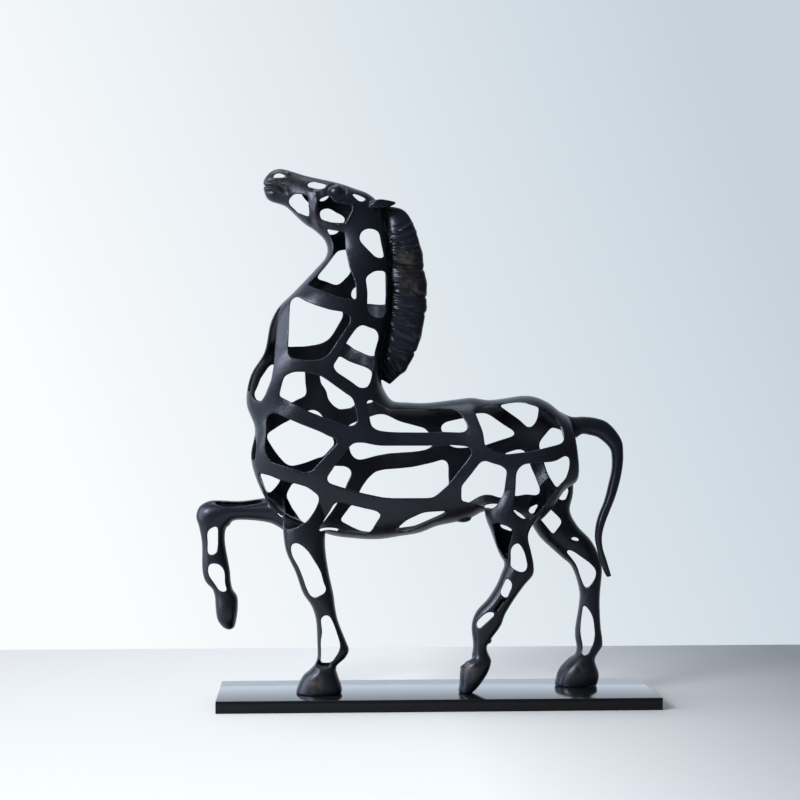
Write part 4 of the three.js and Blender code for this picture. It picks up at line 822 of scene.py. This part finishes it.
# The mane's locks, from the poll down: ridges that stand up between sunk creases
carve(horse, [
    (-1.6, 1.7, [(-38, 363.6), (-24, 361.8), (-12.3, 360.4), (-9, 359.4)]),
    (-1.1, 1.2, [(-24, 338.4), (-15, 337.2), (-8, 336.4), (-3, 336)]),
    (-0.9, 1.4, [(-22, 325), (-14, 323.6), (-8, 322.6), (-4, 322)]),
    (-1.2, 1.4, [(-30, 296), (-22, 292.4), (-16, 289.6), (-12, 287.6)]),
    (1.3, 4.5, [(-38, 374.6), (-26, 374), (-10, 372)]),
    (1.3, 4.5, [(-38, 351), (-26, 349.6), (-6, 348)]),
    (1.2, 3.6, [(-38, 330.6), (-26, 329), (-6, 327)]),
    (1.3, 4.5, [(-38, 310), (-28, 307.6), (-12, 303)]),
    (1.2, 3.6, [(-40, 284), (-32, 280), (-24, 274)]),
    (1.0, 1.2, [(-34.6, 396.8), (-28.2, 398.2)]),
    (1.2, 1.1, [(-29.8, 391.8), (-23.2, 395.3), (-19.5, 398)]),
    (0.7, 1.6, [(-36.7, 390.5), (-30.4, 389.8)]),
    (1.1, 1.1, [(-36.7, 384.9), (-28.8, 386.4), (-21.9, 388.8), (-16.5, 391.5)]),
    (-1.0, 0.9, [(-37.4, 382.9), (-29, 384.4), (-21.9, 386.5), (-15.5, 388.5)]),
    (0.9, 1.7, [(-36.8, 380.8), (-31, 381.2)]),
    (1.0, 1.0, [(-29.3, 382.8), (-25, 382.4), (-17, 383.6)]),
    (-0.8, 0.8, [(-30, 380.2), (-20, 380.8), (-14.5, 381.8)]),
    (1.3, 1.1, [(-28.2, 377.2), (-22.9, 377.9), (-15, 379.4)]),
    (-1.1, 0.8, [(-37, 375.6), (-29.6, 375.9), (-14, 376.9)]),
    (0.8, 1.4, [(-36.8, 373.3), (-31, 373)]),
    (1.2, 0.9, [(-24.5, 374.4), (-19.5, 371), (-14.5, 369)]),
    (-1.0, 0.8, [(-37, 370.4), (-27.2, 369.9), (-14.4, 367.4), (-11.5, 366.8)]),
    (1.2, 1.5, [(-36.8, 368.3), (-28.2, 367.4), (-21.9, 366), (-12.3, 364.4)]),
    (-1.3, 1.3, [(-37, 363.2), (-24, 361.8), (-12.3, 361.6), (-9.5, 360)]),
    (0.8, 1.0, [(-33, 357.4), (-17.6, 358.2)]),
    (1.2, 0.9, [(-30.5, 353.1), (-22, 353.9), (-13, 354.2)]),
    (-0.9, 0.7, [(-36, 351.5), (-20, 351.9), (-10, 352)]),
    (1.1, 0.9, [(-36.2, 349.9), (-25, 349.4), (-16, 350)]),
    (-0.8, 0.7, [(-36.5, 347.9), (-20, 347.5), (-9, 348)]),
    (0.8, 1.0, [(-35.6, 346.1), (-22.9, 346)]),
    (1.2, 1.0, [(-17, 344.6), (-13, 341.8), (-9.2, 337.8)]),
    (-1.2, 0.9, [(-19, 342), (-13.5, 338.6), (-9.4, 335.8)]),
    (0.9, 1.0, [(-33, 340.8), (-24, 340), (-17, 338.8)]),
    (-0.9, 0.8, [(-37.4, 339.4), (-30, 338), (-18, 336.6)]),
    (1.1, 1.0, [(-37.4, 337.5), (-30.9, 335), (-24, 333.6)]),
    (0.8, 1.1, [(-35, 332), (-26, 331.2), (-14, 329)]),
    (-0.9, 0.8, [(-37, 329.4), (-24, 328.2), (-10, 326.6)]),
    (0.9, 1.1, [(-33.5, 326.4), (-24, 325), (-15, 323)]),
    (-1.0, 1.0, [(-36, 324), (-24, 322.4), (-10.5, 320.6)]),
    (1.0, 1.0, [(-37.2, 322), (-30, 319.6), (-23.4, 320.4)]),
    (1.0, 1.0, [(-24, 316), (-18, 313.4), (-13, 312)]),
    (-0.9, 0.9, [(-36, 315.5), (-27, 313), (-18, 309.8)]),
    (1.0, 1.0, [(-23.4, 311.4), (-17.6, 306.4), (-14.6, 302)]),
    (0.9, 1.3, [(-37.2, 310.6), (-29.8, 308.2)]),
    (-0.9, 1.0, [(-37, 305.6), (-28, 303), (-19, 299)]),
    (1.1, 1.4, [(-37, 300.6), (-29, 299), (-20.9, 296.4)]),
    (-0.9, 0.7, [(-36, 297.9), (-28, 296.6), (-20, 293.8)]),
    (1.1, 0.7, [(-31, 296.4), (-22, 293.4)]),
    (-0.9, 0.6, [(-34, 295), (-21.6, 291.2)]),
    (1.1, 0.7, [(-34, 293.8), (-22, 289.8)]),
    (1.1, 0.9, [(-39.2, 290.9), (-28.2, 288.6), (-23, 286.6)]),
    (-1.1, 0.9, [(-41, 288.6), (-30, 286), (-23.6, 281.4)]),
    (1.1, 1.0, [(-46.4, 281.8), (-43.4, 283.2), (-37.3, 273.8), (-35, 270)]),
    (-1.1, 0.8, [(-44.8, 279.6), (-39.8, 272.6), (-37.4, 268.4)]),
    (1.1, 1.1, [(-39.6, 283.4), (-36.2, 279.6), (-32.3, 273.8)]),
    (-1.0, 0.9, [(-40.4, 281.4), (-35.4, 273.6), (-33.6, 270.4)]),
    (1.0, 0.9, [(-44.4, 275), (-39.9, 270.6), (-38.6, 267)]),
    (-0.9, 0.9, [(-35.6, 284.6), (-30, 276)]),
])
# The mouth, lips and nostril rim, the lids and brow, and the folds of the ear
carve(horse, [
    (-1.9, 0.9, [(-145, 428.6), (-139, 428), (-129.8, 426.9), (-127.4, 424.6), (-124.1, 422.4)]),
    (0.7, 0.9, [(-142, 426.2), (-136, 426), (-130.4, 424.6), (-126, 422.4), (-122.6, 420.4)]),
    (-0.8, 1.0, [(-141.6, 423.9), (-135, 424.1), (-131, 422.6)]),
    (0.6, 1.9, [(-138.6, 421.2), (-134, 420.6)]),
    (0.8, 1.2, [(-141.4, 430.8), (-136, 430.2), (-130, 429.6), (-124.4, 427), (-122.6, 423.4)]),
    (-0.7, 1.0, [(-138.4, 432.9), (-133, 431.6), (-127, 430.8)]),
    (0.6, 0.8, [(-136.6, 434.2), (-130, 434.4), (-123.6, 434.8)]),
    (0.9, 0.9, [(-123.4, 440.9), (-122.2, 438.2)]),
    (-0.7, 0.8, [(-90.4, 421), (-90.8, 425.4), (-88, 429), (-83, 430.6)]),
    (-0.6, 0.8, [(-76.6, 428), (-74.6, 424.6), (-76, 420.4)]),
    (0.5, 1.0, [(-88.4, 417.6), (-83, 416.2), (-78, 417.6)]),
    (0.8, 1.2, [(-103, 423.6), (-96.6, 423.4), (-91.4, 421.4)]),
    (-0.9, 0.8, [(-50, 414.6), (-46, 415.6), (-40, 415)]),
    (0.8, 0.7, [(-51.5, 411.2), (-46, 411.6), (-38, 412.8)]),
    (0.7, 0.7, [(-51, 416.6), (-45.4, 417.2), (-38, 416)]),
    (-0.7, 0.6, [(-50, 412), (-44, 412.6)]),
    (1.5, 2.0, [(-99.9, 422.4), (-99.2, 416), (-100.1, 408.2), (-99.2, 401.3), (-95.9, 394.6)]),
    (-1.0, 1.6, [(-106.6, 421.4), (-106, 415), (-106.2, 408.2), (-104.8, 401.3), (-102.6, 395.4)]),
    (0.9, 0.8, [(-45.6, 391.5), (-43.9, 383.6), (-42.7, 373.8), (-41.5, 366), (-40.8, 354.2),
                (-40.6, 334), (-41.5, 320)]),
    (0.6, 0.7, [(-68.5, 413.6), (-69.2, 408.2), (-71.4, 403.3), (-74.5, 397.4)]),
    (-1.4, 0.9, [(20, 29.2), (22.6, 31.2), (25.9, 33.3), (28.8, 35.6), (32.4, 38.2)]),
    (0.9, 0.9, [(20, 27.6), (23, 29.4), (27, 31.8), (33, 35)]),
    (0.8, 0.9, [(114.6, 37), (109.5, 32.3), (104.7, 27), (101.5, 20)]),
    (0.6, 0.7, [(-100, 28.9), (-96, 26.8), (-92.6, 26.2), (-89.4, 27.6), (-87.2, 31)]),
])
combine(horse, object_from("ground", corners, [
    (3, 2, 1, 0), (4, 5, 6, 7), (0, 1, 5, 4), (1, 2, 6, 5), (2, 3, 7, 6), (3, 0, 4, 7)]), "DIFFERENCE")
use_alone(horse)
thinning = horse.modifiers.new("thinning", "DECIMATE")
triangles = sum(len(face.vertices) - 2 for face in horse.data.polygons)
thinning.ratio = min(1.0, most_triangles / triangles)
bpy.ops.object.modifier_apply(modifier=thinning.name)
bpy.ops.object.shade_smooth()

# Patina: a satin black skin, bluish grey where it catches the light, uneven from the mould
patina, shader, start, place = new_material("black_patina")
cloud = start.grain(place, 25.0, 3.0)
mould = start.grain(place, 160.0, 3.0, 0.6)
pores = start.grain(place, 1400.0, 2.0)
tone = cloud.ramp((0.3, (0.005, 0.0055, 0.0075)), (0.75, (0.009, 0.010, 0.015)))
rubs = None
for x, z, width, reach in (
    (-25, 366, 26, 0.014), (-22, 345, 24, 0.010), (-121, 425, 12, 0.012), (-132, 432, 14, 0.009),
    (-98, 397, 12, 0.007), (-101, 20, 10, 0.012), (25, 30, 30, 0.012), (118, 26, 5, 0.012),
):
    centre = tuple(value / 1000 for value in sighted(x, z, 0))
    off = start.node("ShaderNodeVectorMath", {"operation": "MULTIPLY"}, {0: place, 1: (1, 0, 1)})
    gap = start.node("ShaderNodeVectorMath", {"operation": "DISTANCE"}, {0: off, 1: centre}, 1)
    spot = (1.0 - gap / reach).clamped()
    rubs = spot if rubs is None else rubs + spot
bare = rubs.clamped() * (4.0 * mould - 1.7).clamped()
link((0.8 * bare).mixed(tone, (0.075, 0.058, 0.036)), shader, "Base Color")
link(0.24 + 0.14 * mould, shader, "Roughness")
shader.inputs["Specular IOR Level"].default_value = 0.32
shader.inputs["Specular Tint"].default_value = (0.78, 0.83, 1.0, 1)
relief = start.node("ShaderNodeBump", None, {"Strength": 0.25, "Distance": 0.0006, "Height": mould})
relief = start.node("ShaderNodeBump", None, {
    "Strength": 0.08, "Distance": 0.0002, "Height": pores, "Normal": relief})
link(relief, shader, "Normal")
horse.data.materials.clear()
horse.data.materials.append(patina)
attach(horse, "root")
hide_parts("horse")


# THE STUDIO
# A pale floor that ends a little behind the statue, its colour painted with shade, and soft light: a tall
# window on the left and a weak ceiling. The side by the camera stays dim, so that the black stays black.
bpy.ops.mesh.primitive_plane_add(size=1)
floor = bpy.context.object
floor.name = "floor"
bpy.ops.object.mode_set(mode="EDIT")
bpy.ops.transform.resize(value=(3.8, 0.95, 1))
bpy.ops.transform.translate(value=(0, -0.13, 0))
bpy.ops.object.mode_set(mode="OBJECT")
floor_finish, shader, start, place = new_material("pale_floor")
# Painted shade: the floor's colour is graded across it, lightest left of the middle, a little darker at the
# far left and darkest to the right, standing in for the fall-off of light across the floor
across = start.node("ShaderNodeSeparateXYZ", None, {"Vector": place}, 0)
painted_floor_shade = (0.5 + 1.2 * across).clamped().ramp(
    (0.0, (0.53, 0.515, 0.49)), (0.5, (0.67, 0.66, 0.635)), (0.95, (0.27, 0.275, 0.28)))
link(painted_floor_shade, shader, "Base Color")
shader.inputs["Roughness"].default_value = 0.75
shader.inputs["Specular IOR Level"].default_value = 0.2
floor.data.materials.append(floor_finish)

world = bpy.data.worlds.new("studio")
world.use_nodes = True
bpy.context.scene.world = world
room = Shade(world.node_tree)
way = room.node("ShaderNodeTexCoord")
side = room.node("ShaderNodeSeparateXYZ", None, {"Vector": way}, 0)
depth = room.node("ShaderNodeSeparateXYZ", None, {"Vector": way}, 1)
height = room.node("ShaderNodeSeparateXYZ", None, {"Vector": way}, 2)
overhead = 0.25 * (0.3 + 0.6 * height).clamped()
behind = 1.1 * (0.9 * depth - 0.35 * side).clamped()
dim = room.node("ShaderNodeBackground", None, {
    "Color": (0.76, 0.86, 1.0), "Strength": 0.05 + overhead + behind})
# Painted light on the backdrop: what the camera sees behind the statue goes from near white on the left, by
# the window, to blue grey towards the right and upwards, as light falling off across a wall; it lights
# nothing
painted_backdrop_light = (0.33 + 2.2 * side + 0.9 * height).clamped().ramp(
    (0.0, (0.97, 0.98, 0.99)), (0.35, (0.82, 0.87, 0.91)), (1.0, (0.56, 0.64, 0.71)))
pale = room.node("ShaderNodeBackground", None, {"Color": painted_backdrop_light, "Strength": 1.0})
seen = room.node("ShaderNodeLightPath")
walls = room.node("ShaderNodeMixShader", None, {0: seen, 1: dim, 2: pale})
output = next(node for node in world.node_tree.nodes if node.type == "OUTPUT_WORLD")
world.node_tree.links.new(walls.socket, output.inputs["Surface"])
for name, place, aim, size, power, tint in (
    ("window", (-2.1, -0.45, 0.9), (0, 0, 0.25), 2.0, 72.0, (0.84, 0.90, 1.0)),
    ("window_pane", (-1.5, -1.6, 1.25), (0, 0, 0.25), 0.75, 60.0, (0.90, 0.94, 1.0)),
    ("ceiling", (-0.35, 0.2, 1.75), (-0.1, 0.1, 0), 0.8, 9.0, (0.97, 0.98, 1.0)),
):
    light = bpy.data.lights.new(name, "AREA")
    light.size = size
    light.energy = power
    light.color = tint
    lamp = bpy.data.objects.new(name, light)
    lamp.location = place
    lamp.rotation_euler = (Vector(aim) - Vector(place)).to_track_quat("-Z", "Y").to_euler()
    bpy.context.scene.collection.objects.link(lamp)

yaw, pitch = 0.0514, 0.0077
camera_place = (-0.1063, -1.48769, 0.23928)
focal_length = 80.48
ahead = Vector((math.sin(yaw) * math.cos(pitch), math.cos(yaw) * math.cos(pitch), math.sin(pitch)))
right = Vector((math.cos(yaw), -math.sin(yaw), 0))
above = right.cross(ahead)
lens = bpy.data.cameras.new("camera")
lens.sensor_width = 36
lens.lens = focal_length
camera = bpy.data.objects.new("camera", lens)
camera.matrix_world = Matrix((
    (right.x, above.x, -ahead.x, camera_place[0]),
    (right.y, above.y, -ahead.y, camera_place[1]),
    (right.z, above.z, -ahead.z, camera_place[2]),
    (0, 0, 0, 1)))
bpy.context.scene.collection.objects.link(camera)
bpy.context.scene.camera = camera
bpy.context.scene.view_settings.view_transform = "Standard"
